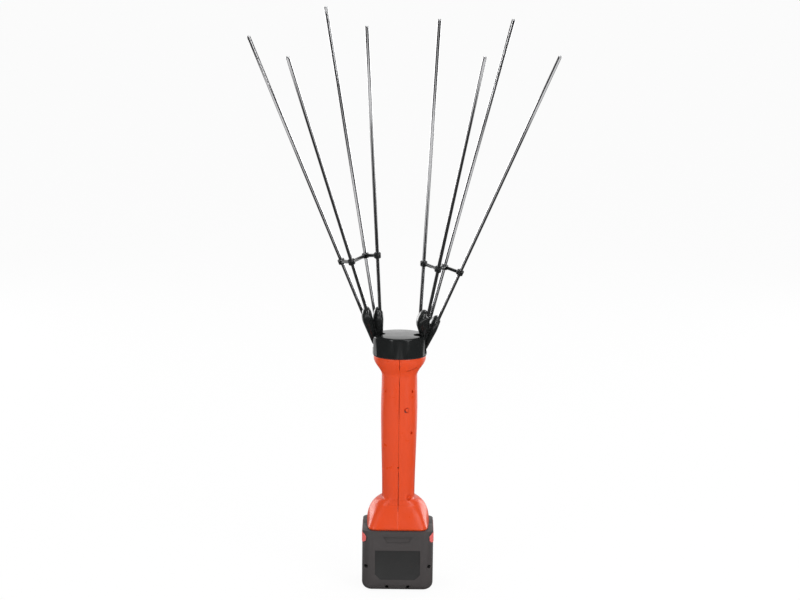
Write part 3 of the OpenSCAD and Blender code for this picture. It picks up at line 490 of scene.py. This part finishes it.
def on_surface(x, z, sizes, back=False):
    """Point of the housing's outline at x on the front or back, and the way that it faces there."""
    low, high = 1e-4, math.pi / 2
    for _ in range(40):
        a = (low + high) / 2
        low, high = (a, high) if reach(z, a, sizes) * math.cos(a) > abs(x) else (low, a)
    near, far = (reach(z, b, sizes) * Vector((math.cos(b), math.sin(b), 0)) for b in (a - 0.01, a + 0.01))
    way = Vector((far.y - near.y, near.x - far.x, 0)).normalized()
    point = reach(z, a, sizes) * Vector((math.cos(a), math.sin(a), 0)) + Vector((0, 0, z))
    flip = Vector((math.copysign(1, x), 1 if back else -1, 1))
    return point * flip, way * flip


def housing_levels():
    """Heights of the housing's rings, close together where it curves."""
    levels = [FOOT_Z, REBATE_Z - 0.01, REBATE_Z + 0.01, FOOT_Z + 3, FOOT_Z + 4.4]
    levels += [DOME_Z + (DOME_TOP - DOME_Z) * math.sin(math.radians(90 * i / 24)) for i in range(25)]
    levels += [GRIP_Z - 1.5, GRIP_Z]
    levels += [mix(GRIP_Z, NECK_Z, i / 26) for i in range(1, 27)]
    levels += [mix(NECK_Z, FLARE_Z, i / 14) for i in range(1, 15)]
    return levels + [SEAT_Z - 1.5, SEAT_Z]


# Recesses on the right half: x, height, radius, plug's share of the width, depth, and whether at the back

PLUGS = [(14.6, 226, 1.5, 0.0, 1.7, False), (8.4, 205.5, 3.0, 0.66, 1.7, False), (13.9, 179, 1.9, 0.0, 1.7, False),
         (11.8, 104, 3.5, 0.42, 1.1, False), (14.6, 226, 2.3, 0.5, 1.7, True), (13.9, 179, 2.3, 0.5, 1.7, True),
         (11.8, 104, 3.4, 0.5, 1.1, True)]
LEFT_DIMPLE = (-15, 226, 1.3, 0, 0.8, False)
SWITCH_Z, SWITCH_HALF_WIDTH, SWITCH_HALF_HEIGHT = 140.0, 5.8, 11.8

# Small holes on the seam: radius, length, place

SEAM_HOLES = [(0.9, 6, (-0.5, -18, 139)), (2.1, 4, (0, -31.7, 79))]

# Slanting line on the right of the flare: its ends, depth and half gap

SLIT_FROM, SLIT_TO, SLIT_DEPTH, SLIT_HALF = Vector((8, -60, 250)), Vector((19.5, -60, 254)), 50, 0.3

# Rim of the wall: how far inside the outline the seam is closed, and the half gap left there

RIM_INSET, RIM_HALF_GAP = 1.2, 0.01


def housing_half(side, sizes):
    """Half of the housing: an arch of edges raised ring by ring, then given its sections and its wall."""
    free()
    bpy.ops.mesh.primitive_circle_add(vertices=144, radius=1, location=(0, 0, FOOT_Z * MM))
    piece = start("housing_right" if side > 0 else "housing_left")
    settle(piece)
    edit(piece)
    pick(piece, "VERT", lambda v: v.co.x * side < -1e-5)
    bpy.ops.mesh.delete(type="VERT")
    bpy.ops.mesh.select_all(action="SELECT")
    levels = housing_levels()
    for low, high in zip(levels, levels[1:]):
        bpy.ops.mesh.extrude_region_move(TRANSFORM_OT_translate={"value": (0, 0, (high - low) * MM)})
    leave_edit()
    for vertex in piece.data.vertices:
        a = math.atan2(vertex.co.y, vertex.co.x)
        r = reach(vertex.co.z / MM, a, sizes) * MM
        vertex.co.x = r * math.cos(a) if abs(math.cos(a)) > 1e-5 else side * seam(vertex.co.z / MM) * MM
        vertex.co.y = r * math.sin(a)
    edit(piece)
    bpy.ops.mesh.select_all(action="SELECT")
    bpy.ops.mesh.normals_make_consistent(inside=False)
    leave_edit()
    if sum(p.normal.x * p.center.x + p.normal.y * p.center.y for p in piece.data.polygons) < 0:
        piece.data.flip_normals()
    wall = piece.modifiers.new("wall", "SOLIDIFY")
    wall.thickness = sizes.wall
    wall.offset = -1
    apply_all(piece)
    for vertex in piece.data.vertices:
        outline = reach(vertex.co.z / MM, math.copysign(math.pi / 2, vertex.co.y), sizes)
        if abs(vertex.co.x) < 0.5 * MM and abs(vertex.co.y) < (outline - RIM_INSET) * MM:
            vertex.co.x = side * RIM_HALF_GAP * MM
    ease_edges(piece, 0.0002, 2, 50)
    return piece


class HousingOperator(bpy.types.Operator):
    """Two moulded halves of the housing, with the seam, screw recesses and the switch opening"""

    bl_idname = "harvester.housing"
    bl_label = "Housing"

    def execute(self, context):
        sizes = context.scene.harvester_sizes
        left, right = housing_half(-1, sizes), housing_half(1, sizes)
        for piece in (left, right):
            opening = block((-SWITCH_HALF_WIDTH, 12, SWITCH_Z - SWITCH_HALF_HEIGHT),
                            (SWITCH_HALF_WIDTH, 40, SWITCH_Z + SWITCH_HALF_HEIGHT))
            ease_edges(opening, 0.002, 4)
            cut(piece, [opening])
            cut(piece, [bar(radius, length, place, FORWARD) for radius, length, place in SEAM_HOLES])
        for plug in PLUGS:
            self.recess(right, sizes, *plug)
        self.recess(left, sizes, *LEFT_DIMPLE)
        cut(right, [self.slit()])
        for piece, node in ((left, "handle_shell_left"), (right, "handle_shell_right")):
            smooth(piece, 40)
            dress(piece, "handle", "shell_orange", FINISHES["shell_orange"], node)
        return {"FINISHED"}

    def recess(self, piece, sizes, x, z, radius, share, depth, back):
        """Sinks a round recess square to the housing's surface, with a plug of a share of its width."""
        point, way = on_surface(x, z, sizes, back)
        groove = bar(radius, 4, (0, 0, -depth))
        if share:
            cut(groove, [bar(radius * share, 6, (radius * 0.25, 0, -depth - 1))])
        place_at(groove, Matrix.Translation(point * MM) @ way.to_track_quat("Z", "Y").to_matrix().to_4x4())
        cut(piece, [groove])

    def slit(self):
        """Cutter for the slanting parting line on the right of the flare."""
        along = SLIT_TO - SLIT_FROM
        piece = block((0, 0, -SLIT_HALF), (along.length, SLIT_DEPTH, SLIT_HALF))
        turn = -math.atan2(along.z, along.x)
        place_at(piece, Matrix.Translation(SLIT_FROM * MM) @ Matrix.Rotation(turn, 4, "Y"))
        return piece


# Rakes: where the rods of each would meet, in millimetres, and how they lean

MEET = {"left": Vector((-19.7, 12, 255.7)), "right": Vector((19.7, 8, 251.3))}
LEAN_OUT, LEAN_FRONT, SPREAD, TURN = (math.radians(a) for a in (12.2, 17.8, 9.4, -15.4))
ROD_FROM, ROD_REACH, NECK_REACH = 46.0, 408.0, 24.0
CAP_Z, CAP_TOP = 266.0, 288.0


def rake_frame(side):
    """Frame of a rake: Z along its axis, origin where its rods would meet."""
    meet = MEET[side]
    axis = Vector((math.copysign(math.tan(LEAN_OUT), meet.x), -math.tan(LEAN_FRONT), 1)).normalized()
    across = (Vector((1, 0, 0)) - axis * axis.x).normalized()
    turn = Matrix((across, axis.cross(across), axis)).transposed().to_4x4()
    return Matrix.Translation(meet * MM) @ turn


def rod_frame(side, k):
    """Frame of one rod of a rake: Z along the rod."""
    around = Matrix.Rotation(TURN + k * math.pi / 2, 4, "Z")
    return rake_frame(side) @ around @ Matrix.Rotation(SPREAD, 4, "Y")


def spun(name, profile, vertices=40):
    """A round piece along Z from pairs of radius and height: a disc raised and resized ring by ring."""
    free()
    radius, height = profile[0]
    bpy.ops.mesh.primitive_circle_add(
        vertices=vertices, radius=radius * MM, fill_type="NGON", location=(0, 0, height * MM))
    piece = start(name)
    settle(piece)
    edit(piece)
    bpy.ops.mesh.select_all(action="SELECT")
    for (r0, z0), (r1, z1) in zip(profile, profile[1:]):
        bpy.ops.mesh.extrude_region_move(TRANSFORM_OT_translate={"value": (0, 0, (z1 - z0) * MM)})
        bpy.ops.transform.resize(value=(r1 / r0, r1 / r0, 1), center_override=(0, 0, z1 * MM))
    leave_edit()
    tidy_mesh(piece)
    return piece


# Holders: distance along each rod to where it is held, and the bulbs as centre, half sizes, turn in degrees,
# foot, radius of the foot, and rods held, in the rake's frame and in millimetres

HELD_AT = (62.0, 48.0, 50.0, 68.0)
BULBS = {
    "left": (((-4.9, -8.0, 62.7), (5.6, 8.0, 12.1), (2, 11.6, 20), (-3.6, 0, 25), 3.4, (2, 3)),
             ((6.1, -1.5, 53.5), (5.4, 8.0, 14.7), (-2, 10.4, 28.6), (3.9, 0, 36), 4.2, (1, 0))),
    "right": (((7.0, -1.5, 53.7), (4.2, 7.2, 13.4), (-2, 6.1, 26), (3.2, 0, 25), 3.4, (1, 0)),
              ((-8.0, -7.5, 62.8), (5.2, 8.2, 11.6), (2, 10, 20), (-0.5, 0, 37), 3.8, (2, 3))),
}
HOLD_BALL, BORE_RADIUS, BORE_LENGTH, BORE_BELOW = (3.4, 3.4, 3.4), 2.1, 40, 8
NECK = [(3.2, NECK_REACH), (3.9, NECK_REACH + 0.6), (6, 52), (3, 54)]
SKIN_GRID, SKIN_SOFTENING = 0.00032, 8
TIP_LENGTH = 1.4


def egg(place, half, turn=(0, 0, 0)):
    """A ball drawn out to half sizes in millimetres, turned by degrees, in the frame given."""
    free()
    bpy.ops.mesh.primitive_uv_sphere_add(segments=40, ring_count=20, radius=MM)
    piece = start("egg")
    x, y, z = turns_of(turn)
    place_at(piece, place @ x @ y @ z @ Matrix.Diagonal((*half, 1)))
    return piece


def unite(name, pieces):
    """Joins the pieces into one object, without merging their meshes."""
    hold(pieces[0])
    for piece in pieces:
        piece.select_set(True)
    bpy.ops.object.join()
    return start(name)


def bulb(side, swell, centre, half, turn, foot, foot_radius, rods):
    """One bulb: an egg, a thin foot and the two places where it holds its rods, drawn together."""
    base = rake_frame(side)
    wide = (half[0] * swell, half[1], half[2])
    parts = [egg(base @ Matrix.Translation(Vector(centre) * MM), wide, turn),
             egg(base @ Matrix.Translation(Vector(foot) * MM), (foot_radius,) * 3)]
    parts += [egg(rod_frame(side, k) @ Matrix.Translation((0, 0, HELD_AT[k] * MM)), HOLD_BALL) for k in rods]
    piece = unite("bulb", parts)
    edit(piece)
    bpy.ops.mesh.select_all(action="SELECT")
    bpy.ops.mesh.convex_hull()
    leave_edit()
    return piece


class HolderOperator(bpy.types.Operator):
    """Rod holders: two bulbs, each round a pair of rods, that grow from one neck"""

    bl_idname = "harvester.holders"
    bl_label = "Rod holders"

    def execute(self, context):
        swell = context.scene.harvester_sizes.bulb_radius / MM / BULBS["left"][0][1][0]
        for side in ("left", "right"):
            neck = spun("neck", NECK)
            place_at(neck, rake_frame(side))
            bulbs = [bulb(side, swell, *form) for form in BULBS[side]]
            piece = unite("holder_" + side, [neck] + bulbs)
            skin = piece.modifiers.new("skin", "REMESH")
            skin.mode = "VOXEL"
            skin.voxel_size = SKIN_GRID
            apply_all(piece)
            soft = piece.modifiers.new("soft", "SMOOTH")
            soft.factor = 0.5
            soft.iterations = SKIN_SOFTENING
            apply_all(piece)
            for k in range(4):
                bore = bar(BORE_RADIUS, BORE_LENGTH, (0, 0, HELD_AT[k] - BORE_BELOW))
                place_at(bore, rod_frame(side, k))
                cut(piece, [bore])
            smooth(piece, 45)
            dress(piece, "rake_" + side, "black_plastic", FINISHES["satin_black"], "rake_holder_" + side)
        return {"FINISHED"}


class RodOperator(bpy.types.Operator):
    """Four drawn rods with rounded tips on each rake"""

    bl_idname = "harvester.rods"
    bl_label = "Rods"

    def execute(self, context):
        r = context.scene.harvester_sizes.rod_radius / MM
        shoulder = ROD_REACH - TIP_LENGTH
        profile = [(r, z) for z in (ROD_FROM, ROD_REACH * 0.4, ROD_REACH * 0.7, shoulder)]
        for a in (math.radians(15 * i) for i in range(1, 6)):
            profile.append((r * math.cos(a), shoulder + TIP_LENGTH * math.sin(a)))
        for side in ("left", "right"):
            rods = []
            for k in range(4):
                rod = spun("rods_" + side, profile, 24)
                place_at(rod, rod_frame(side, k))
                rods.append(rod)
            piece = unite("rods_" + side, rods)
            smooth(piece, 50)
            dress(piece, "rake_" + side, "rod_composite", FINISHES["rod_composite"], "rake_rods_" + side)
        return {"FINISHED"}


class ClipOperator(bpy.types.Operator):
    """Spacer clips with eased edges, from the CAD clips"""

    bl_idname = "harvester.clips"
    bl_label = "Spacer clips"

    def execute(self, context):
        for side in ("left", "right"):
            node = frame["nodes"]["rod_clip_" + side]
            free()
            piece = node.copy()
            piece.data = node.data.copy()
            piece.parent = None
            piece.name = "clip_" + side
            for key in list(piece.keys()):
                del piece[key]
            context.scene.collection.objects.link(piece)
            tidy_mesh(piece)
            edit(piece)
            bpy.ops.mesh.select_all(action="SELECT")
            bpy.ops.mesh.dissolve_limited(angle_limit=math.radians(2))
            leave_edit()
            ease_edges(piece, 0.00025, 2, 45)
            smooth(piece, 40)
            dress(piece, "rake_" + side, "black_plastic", FINISHES["black_plastic"], "rod_clip_" + side)
        return {"FINISHED"}


# Cap: its wall, and each notch as the inner end's distance from the middle, radius and distance ahead of the arm

CAP_WALL, CAP_SCREW_X, CAP_SCREW_RISE = 0.0024, 12, 5
NOTCHES = {"left": (16.2, 7.6, 10.8), "right": (15.2, 9.0, 11.3)}
NOTCH_LENGTH, NOTCH_RISE, NOTCH_OPENS_AT, NOTCH_RUN = 60, 16.6, 23.9, 0.03


class CapOperator(bpy.types.Operator):
    """Cap of the head, open at both sides where the rakes come out"""

    bl_idname = "harvester.cap"
    bl_label = "Cap"

    def execute(self, context):
        sizes = context.scene.harvester_sizes
        free()
        bpy.ops.mesh.primitive_cylinder_add(
            vertices=128, radius=sizes.cap_radius, depth=(CAP_TOP - CAP_Z) * MM,
            location=(0, 0, (CAP_TOP + CAP_Z) / 2 * MM))
        piece = start("cap")
        settle(piece)
        edit(piece)
        pick(piece, "EDGE", lambda e: all(v.co.z > (CAP_TOP - 0.1) * MM for v in e.verts))
        bpy.ops.mesh.bevel(offset=sizes.cap_fillet, segments=6, profile=0.5)
        pick(piece, "FACE", lambda f: f.normal.z < -0.9)
        bpy.ops.mesh.delete(type="FACE")
        leave_edit()
        wall = piece.modifiers.new("wall", "SOLIDIFY")
        wall.thickness = CAP_WALL
        wall.offset = -1
        apply_all(piece)
        for side, meet in MEET.items():
            out = math.copysign(1, meet.x)
            inner, radius, ahead = NOTCHES[side]
            place = (out * (inner + radius), meet.y - ahead, meet.z + NOTCH_RISE)
            notch = bar(radius, NOTCH_LENGTH, place, vertices=48)
            edit(notch)
            pick(notch, "VERT", lambda v: v.co.x * out > NOTCH_OPENS_AT * MM)
            bpy.ops.transform.translate(value=(out * NOTCH_RUN, 0, 0))
            leave_edit()
            cut(piece, [notch])
        for x in (-CAP_SCREW_X, CAP_SCREW_X):
            hole = bar(1.6, 30, (x, 10, CAP_Z + CAP_SCREW_RISE), BACKWARD)
            counterbore = bar(2.9, 20, (x, 24.64, CAP_Z + CAP_SCREW_RISE), BACKWARD)
            cut(piece, [hole, counterbore])
        ease_edges(piece, 0.00035, 2, 40)
        smooth(piece, 40)
        dress(piece, "handle", "black_plastic", FINISHES["black_plastic"], "head_cap")
        return {"FINISHED"}


# Battery pack, in millimetres

PACK_W, PACK_D, PACK_H, TOWER_W, TOWER_H = 80.0, 74.0, 69.0, 26.0, 27.0
PACK_SCREWS = [(-35.3, 28.3), (35.3, 28.3), (-11.8, 4.7), (11.8, 4.7)]
PAD_LOW, PAD_TOP, PAD_T, PAD_LEN, TRAVEL = 55.4, 66.0, 4.2, PACK_D - 5.4, 2.5
FINGER_X, FINGER_W, FINGER_T, HOOK_TOP = 28.4, 8.0, 3.0, 76.3
FINGER_LOW, FINGER_HIGH = PAD_LOW + 2.6, PAD_LOW + 9.6
CLEAR, PROUD, FAR_OUT = 0.3, 0.4, 60
PANEL_HALF, PANEL_LOW, PANEL_TOP, PANEL_DEPTH, PANEL_CORNER = 25.4, 13, 47, 0.8, 0.006
SLOT_HALF, SLOT_LOW, SLOT_TOP, SLOT_DEPTH, SLOT_TAPER = 16, 56, 62.5, 1.2, 0.76
FRONT = -PACK_D / 2


def runs_along(edge, axis):
    """Whether an edge is straight along an axis, 0 to 2."""
    return abs((edge.verts[0].co - edge.verts[1].co).normalized()[axis]) > 0.9


def pack_block(name, sizes, grow=0.0):
    """The pack's rounded block, grown outwards if asked."""
    wide, deep = PACK_W / 2 + grow, PACK_D / 2 + grow
    piece = block((-wide, -deep, -grow), (wide, deep, PACK_H))
    piece.name = name
    edit(piece)
    pick(piece, "EDGE", lambda e: runs_along(e, 2))
    bpy.ops.mesh.bevel(offset=sizes.pack_corner + grow * MM, segments=10, profile=0.5)
    low = min(v.co.z for v in bmesh.from_edit_mesh(piece.data).verts)
    pick(piece, "EDGE", lambda e: all(v.co.z < low + 1e-6 for v in e.verts))
    bpy.ops.mesh.bevel(offset=sizes.pack_round + grow * MM, segments=8, profile=0.5)
    leave_edit()
    return piece


def front_panel_cutter():
    """Cutter for the bare panel, with its lower corners cut off."""
    piece = block((-PANEL_HALF, FRONT - 5, PANEL_LOW), (PANEL_HALF, FRONT + PANEL_DEPTH, PANEL_TOP))
    edit(piece)
    pick(piece, "EDGE", lambda e: all(v.co.z < (PANEL_LOW + 1) * MM for v in e.verts) and runs_along(e, 1))
    bpy.ops.mesh.bevel(offset=PANEL_CORNER, offset_type="OFFSET", segments=1)
    leave_edit()
    return piece


def slot_cutter():
    """Cutter for the grip slot, narrower at its lower edge."""
    piece = block((-SLOT_HALF, FRONT - 5, SLOT_LOW), (SLOT_HALF, FRONT + SLOT_DEPTH, SLOT_TOP))
    edit(piece)
    pick(piece, "VERT", lambda v: v.co.z < (SLOT_LOW + 1) * MM)
    bpy.ops.transform.resize(value=(SLOT_TAPER, 1, 1), center_override=(0, 0, SLOT_LOW * MM))
    leave_edit()
    return piece


def pad_prism(s, inner, grow=0.0):
    """A release button's outline with round ends, drawn out sideways from inner."""
    near, far = sorted((s * inner, s * FAR_OUT))
    half = PAD_LEN / 2 + grow
    piece = block((near, -half, PAD_LOW - grow), (far, half, PAD_TOP + grow))
    edit(piece)
    pick(piece, "EDGE", lambda e: runs_along(e, 0))
    bpy.ops.mesh.bevel(offset=((PAD_TOP - PAD_LOW) / 2 - 0.1 + grow) * MM, segments=10, profile=0.5)
    leave_edit()
    return piece


class PackOperator(bpy.types.Operator):
    """Battery pack: two case halves with the bare panel, grip slot, screw holes and button pockets"""

    bl_idname = "harvester.pack"
    bl_label = "Battery pack"

    def execute(self, context):
        sizes = context.scene.harvester_sizes
        whole = pack_block("pack", sizes)
        half = TOWER_W / 2
        tower = block((-half, -half, PACK_H - 4), (half, half, PACK_H + TOWER_H))
        cut(whole, [tower], "UNION")
        cut(whole, [slot_cutter(), front_panel_cutter()])
        cut(whole, [bar(2.1, 30, (x, FRONT + 8, z), FORWARD) for x, z in PACK_SCREWS])
        for s in (-1, 1):
            cut(whole, [pad_prism(s, PACK_W / 2 - PAD_T - TRAVEL - 0.9, CLEAR)])
            near = FINGER_X - TRAVEL
            self.pocket(whole, s, (near, PACK_W / 2 - PAD_T + 1), FINGER_W / 2, (FINGER_LOW, FINGER_HIGH))
            self.pocket(whole, s, (near, FINGER_X + FINGER_T), FINGER_W / 2, (FINGER_LOW, 90))
        for name, clear_outer in (("pack_front", True), ("pack_back", False)):
            free()
            piece = whole.copy()
            piece.data = whole.data.copy()
            piece.name = name
            context.scene.collection.objects.link(piece)
            edit(piece)
            bpy.ops.mesh.select_all(action="SELECT")
            bpy.ops.mesh.bisect(plane_co=(0, 0, 0), plane_no=(0, 1, 0), use_fill=True,
                                clear_outer=clear_outer, clear_inner=not clear_outer)
            leave_edit()
            tidy_mesh(piece)
            ease_edges(piece, 0.0004, 2, 35)
            smooth(piece, 35)
            node = "battery_case_" + name.split("_")[1]
            dress(piece, "battery", "pack_grey", FINISHES["pack_grey"], node)
        self.darken_panel()
        bpy.data.objects.remove(whole)
        return {"FINISHED"}

    def pocket(self, piece, s, across, half, height):
        """Cuts room for a part of a release button."""
        near, far = sorted((s * (across[0] - CLEAR), s * (across[1] + CLEAR)))
        cut(piece, [block((near, -half - CLEAR, height[0] - CLEAR), (far, half + CLEAR, height[1] + CLEAR))])

    def darken_panel(self):
        """The bare panel's floor takes the darker finish."""
        piece = bpy.data.objects["pack_front"]
        piece.data.materials.append(FINISHES["panel_grey"])
        level = (FRONT + PANEL_DEPTH) * MM
        for face in piece.data.polygons:
            x, _, z = face.center / MM
            sunk = face.normal.y < -0.9 and abs(face.center.y - level) < 1e-4
            if sunk and PANEL_LOW - 1 < z < PANEL_TOP + 1 and abs(x) < PANEL_HALF + 0.6:
                face.material_index = 1


class ButtonOperator(bpy.types.Operator):
    """Red release buttons with their hooks"""

    bl_idname = "harvester.buttons"
    bl_label = "Release buttons"

    def execute(self, context):
        sizes = context.scene.harvester_sizes
        for side, s in (("left", -1), ("right", 1)):
            piece = pack_block("button_" + side, sizes, PROUD)
            cut(piece, [pad_prism(s, PACK_W / 2 - PAD_T)], "INTERSECT")
            ease_edges(piece, 0.0008, 3, 35)
            spans = [((FINGER_X, FINGER_LOW), (PACK_W / 2 - PAD_T + 0.5, FINGER_HIGH)),
                     ((FINGER_X, FINGER_LOW), (FINGER_X + FINGER_T, HOOK_TOP))]
            parts = []
            for (x0, z0), (x1, z1) in spans:
                near, far = sorted((s * x0, s * x1))
                parts.append(block((near, -FINGER_W / 2, z0), (far, FINGER_W / 2, z1)))
            cut(piece, parts, "UNION")
            smooth(piece, 35)
            dress(piece, "latch_" + side, "button_red", FINISHES["button_red"], "latch_button_" + side)
        return {"FINISHED"}


class InnerOperator(bpy.types.Operator):
    """Finishes for the CAD nodes that stay: drive, motor, switch, fasteners, cells and springs"""

    bl_idname = "harvester.inner"
    bl_label = "Inner pieces"

    def execute(self, context):
        slots = {p["node"]: p["material_slot"] for p in frame["record"]["subparts"]}
        for name, node in frame["nodes"].items():
            node.data.materials.clear()
            node.data.materials.append(FINISHES[slots[name]])
        return {"FINISHED"}


# Lamps: name, place and size in metres, watts

LAMPS = (
    ("key", (1.2, -1.5, 1.5), (1.2, 1.2), 17),
    ("fill", (-1.2, -1.5, 1.4), (0.6, 0.6), 5),
    ("strip_left", (-1.1, -1.6, 0.5), (0.22, 0.6), 3),
    ("strip_right", (1.1, -1.6, 0.5), (0.22, 0.6), 3),
    ("rim_left", (-1.55, 1.5, 0.5), (0.9, 0.9), 11),
    ("rim_right", (1.55, 1.5, 0.5), (0.9, 0.9), 11),
    ("top", (0, 0.2, 2.2), (1.2, 1.2), 12),
)
AIM = Vector((0, 0, 0.25))
SENSOR, LENS = 36, 99
CAMERA_PLACE, CAMERA_TILT, CAMERA_PAN = (-0.0004, -2.423, 0.755), 10.02, 0.63

# Shares of white: the floor as seen, the darkest floor and surroundings in a mirror, and the soft light all round

FLOOR_GLOW, DARK_FLOOR, DARK_ROUND, SOFT_LIGHT = 0.93, 0.04, 0.06, 0.55

# What a mirror sees on the floor, in metres: where each share begins and where it is full

FIELD_SIDE, FIELD_FRONT, FIELD_FAR, FIELD_FAR_SIDE = (0.115, 0.17), (0, -0.2), (-0.61, -0.66), (0.03, 0.05)
FIELD_FADE, FIELD_FADES_TO, FIELD_NARROWS = (-1.1, -2.1), 0.5, (-0.5, -1.0)
FIELD_EDGE, FIELD_EDGE_SOFT, DARK_DISC = (0.9, 0.25), (0.15, 0), (0.6, 0.72)
WHITE_FLOOR, WHITE_SLOPE, WHITE_ROUND = (-0.05, 0.25), 0.65, (0.35, 0.6)


class StageOperator(bpy.types.Operator):
    """Pale floor, soft lamps, white surroundings and the camera"""

    bl_idname = "harvester.stage"
    bl_label = "Stage"

    def execute(self, context):
        self.floor(context.scene.harvester_colours.floor)
        self.world(context.scene)
        self.lamps()
        self.camera(context.scene)
        return {"FINISHED"}

    def floor(self, tone):
        free()
        bpy.ops.mesh.primitive_plane_add(size=60, location=(0, 20, -0.0005))
        floor = start("floor")
        settle(floor)
        material, tree, shader = shader_of("floor")
        mottle = speckle(tree, 3, 2)
        mottled = blend_colours(tree, mottle.outputs["Fac"], shade(tone, 0.99), shade(tone, 1.01))
        join(tree, mottled, shader.inputs["Base Color"])
        shader.inputs["Roughness"].default_value = 0.9
        glow = tree.nodes.new("ShaderNodeEmission")
        path = tree.nodes.new("ShaderNodeLightPath").outputs
        seen = compute(tree, "MAXIMUM", path["Is Camera Ray"], path["Is Transmission Ray"])
        mirrored = compute(tree, "MULTIPLY", self.mirrored_floor(tree), path["Is Glossy Ray"])
        join(tree, compute(tree, "MAXIMUM", seen, mirrored), glow.inputs["Strength"])
        share = compute(tree, "MAXIMUM", compute(tree, "MULTIPLY", seen, FLOOR_GLOW), path["Is Glossy Ray"])
        both = tree.nodes.new("ShaderNodeMixShader")
        join(tree, share, both.inputs[0])
        join(tree, shader.outputs[0], both.inputs[1])
        join(tree, glow.outputs[0], both.inputs[2])
        join(tree, both.outputs[0], tree.nodes["Material Output"].inputs["Surface"])
        floor.data.materials.append(material)

    def mirrored_floor(self, tree):
        """What glossy rays see: dark near the tool, a bright field at each side in front, and white behind."""
        x, y, _ = parts_of(tree, "Object")
        off = compute(tree, "ABSOLUTE", x)
        beyond = compute(tree, "MULTIPLY", step(tree, y, *FIELD_FAR), step(tree, off, *FIELD_FAR_SIDE))
        field = compute(tree, "MAXIMUM", step(tree, off, *FIELD_SIDE), beyond)
        field = compute(tree, "MULTIPLY", field, step(tree, y, *FIELD_FRONT))
        field = compute(tree, "MULTIPLY", field, span(tree, y, 1, FIELD_FADES_TO, *FIELD_FADE))
        edge = compute(tree, "SUBTRACT", off, span(tree, y, *FIELD_EDGE, *FIELD_NARROWS))
        field = compute(tree, "MULTIPLY", field, step(tree, edge, *FIELD_EDGE_SOFT))
        behind = compute(tree, "SUBTRACT", y, compute(tree, "MULTIPLY", off, WHITE_SLOPE))
        white = step(tree, behind, *WHITE_FLOOR)
        squares = compute(tree, "ADD", compute(tree, "POWER", off, 2), compute(tree, "MULTIPLY", y, y))
        away = step(tree, compute(tree, "POWER", squares, 0.5), *DARK_DISC)
        bright = compute(tree, "MULTIPLY", compute(tree, "MAXIMUM", field, white), away)
        return compute(tree, "MAXIMUM", bright, DARK_FLOOR)

    def world(self, scene):
        """White to the camera, white only behind in a mirror, and soft light for the rest."""
        world = bpy.data.worlds.new("studio")
        scene.world = world
        world.use_nodes = True
        tree = world.node_tree
        sky = tree.nodes["Background"]
        sky.inputs["Color"].default_value = (1, 1, 1, 1)
        path = tree.nodes.new("ShaderNodeLightPath").outputs
        back = step(tree, parts_of(tree, "Generated")["Y"], *WHITE_ROUND)
        behind = span(tree, back, DARK_ROUND, 1, 0, 1)
        mirrored = compute(tree, "MULTIPLY", behind, path["Is Glossy Ray"])
        seen = compute(tree, "MAXIMUM", path["Is Camera Ray"], path["Is Transmission Ray"])
        soft = compute(tree, "MULTIPLY", compute(tree, "SUBTRACT", 1, path["Is Glossy Ray"]), SOFT_LIGHT)
        level = compute(tree, "MAXIMUM", compute(tree, "MAXIMUM", seen, mirrored), soft)
        join(tree, level, sky.inputs["Strength"])

    def lamps(self):
        for name, place, size, power in LAMPS:
            light = bpy.data.lights.new(name, "AREA")
            light.shape = "RECTANGLE"
            light.size, light.size_y = size
            light.energy = power
            lamp = bpy.data.objects.new(name, light)
            lamp.location = place
            lamp.rotation_euler = (AIM - Vector(place)).to_track_quat("-Z", "Y").to_euler()
            bpy.context.scene.collection.objects.link(lamp)

    def camera(self, scene):
        lens = bpy.data.cameras.new("camera")
        lens.sensor_width = SENSOR
        lens.lens = LENS
        camera = bpy.data.objects.new("camera", lens)
        camera.rotation_mode = "ZYX"
        camera.location = CAMERA_PLACE
        camera.rotation_euler = (math.radians(90 - CAMERA_TILT), 0, math.radians(CAMERA_PAN))
        scene.collection.objects.link(camera)
        scene.camera = camera
        scene.view_settings.view_transform = "Standard"


class HarvesterPanel(bpy.types.Panel):
    """Lists the harvester's operators and sizes"""

    bl_idname = "VIEW3D_PT_harvester"
    bl_label = "Olive harvester"
    bl_space_type = "VIEW_3D"
    bl_region_type = "UI"
    bl_category = "Harvester"

    def draw(self, context):
        for operator in OPERATORS:
            self.layout.operator(operator.bl_idname)
        for group in (context.scene.harvester_sizes, context.scene.harvester_colours):
            for name in group.bl_rna.properties.keys():
                if name not in ("rna_type", "name"):
                    self.layout.prop(group, name)


OPERATORS = (HousingOperator, CapOperator, HolderOperator, RodOperator, ClipOperator, PackOperator, ButtonOperator,
             InnerOperator, StageOperator)
CLASSES = (HarvesterSizes, HarvesterColours, *OPERATORS, HarvesterPanel)


def register():
    for cls in CLASSES:
        bpy.utils.register_class(cls)
    bpy.types.Scene.harvester_sizes = bpy.props.PointerProperty(type=HarvesterSizes)
    bpy.types.Scene.harvester_colours = bpy.props.PointerProperty(type=HarvesterColours)


def unregister():
    del bpy.types.Scene.harvester_sizes
    del bpy.types.Scene.harvester_colours
    for cls in reversed(CLASSES):
        bpy.utils.unregister_class(cls)


def main():
    register()
    make_finishes(bpy.context.scene.harvester_colours)
    bpy.ops.harvester.housing()
    bpy.ops.harvester.cap()
    bpy.ops.harvester.holders()
    bpy.ops.harvester.rods()
    bpy.ops.harvester.clips()
    bpy.ops.harvester.pack()
    bpy.ops.harvester.buttons()
    bpy.ops.harvester.inner()
    bpy.ops.harvester.stage()


if __name__ == "__main__":
    main()
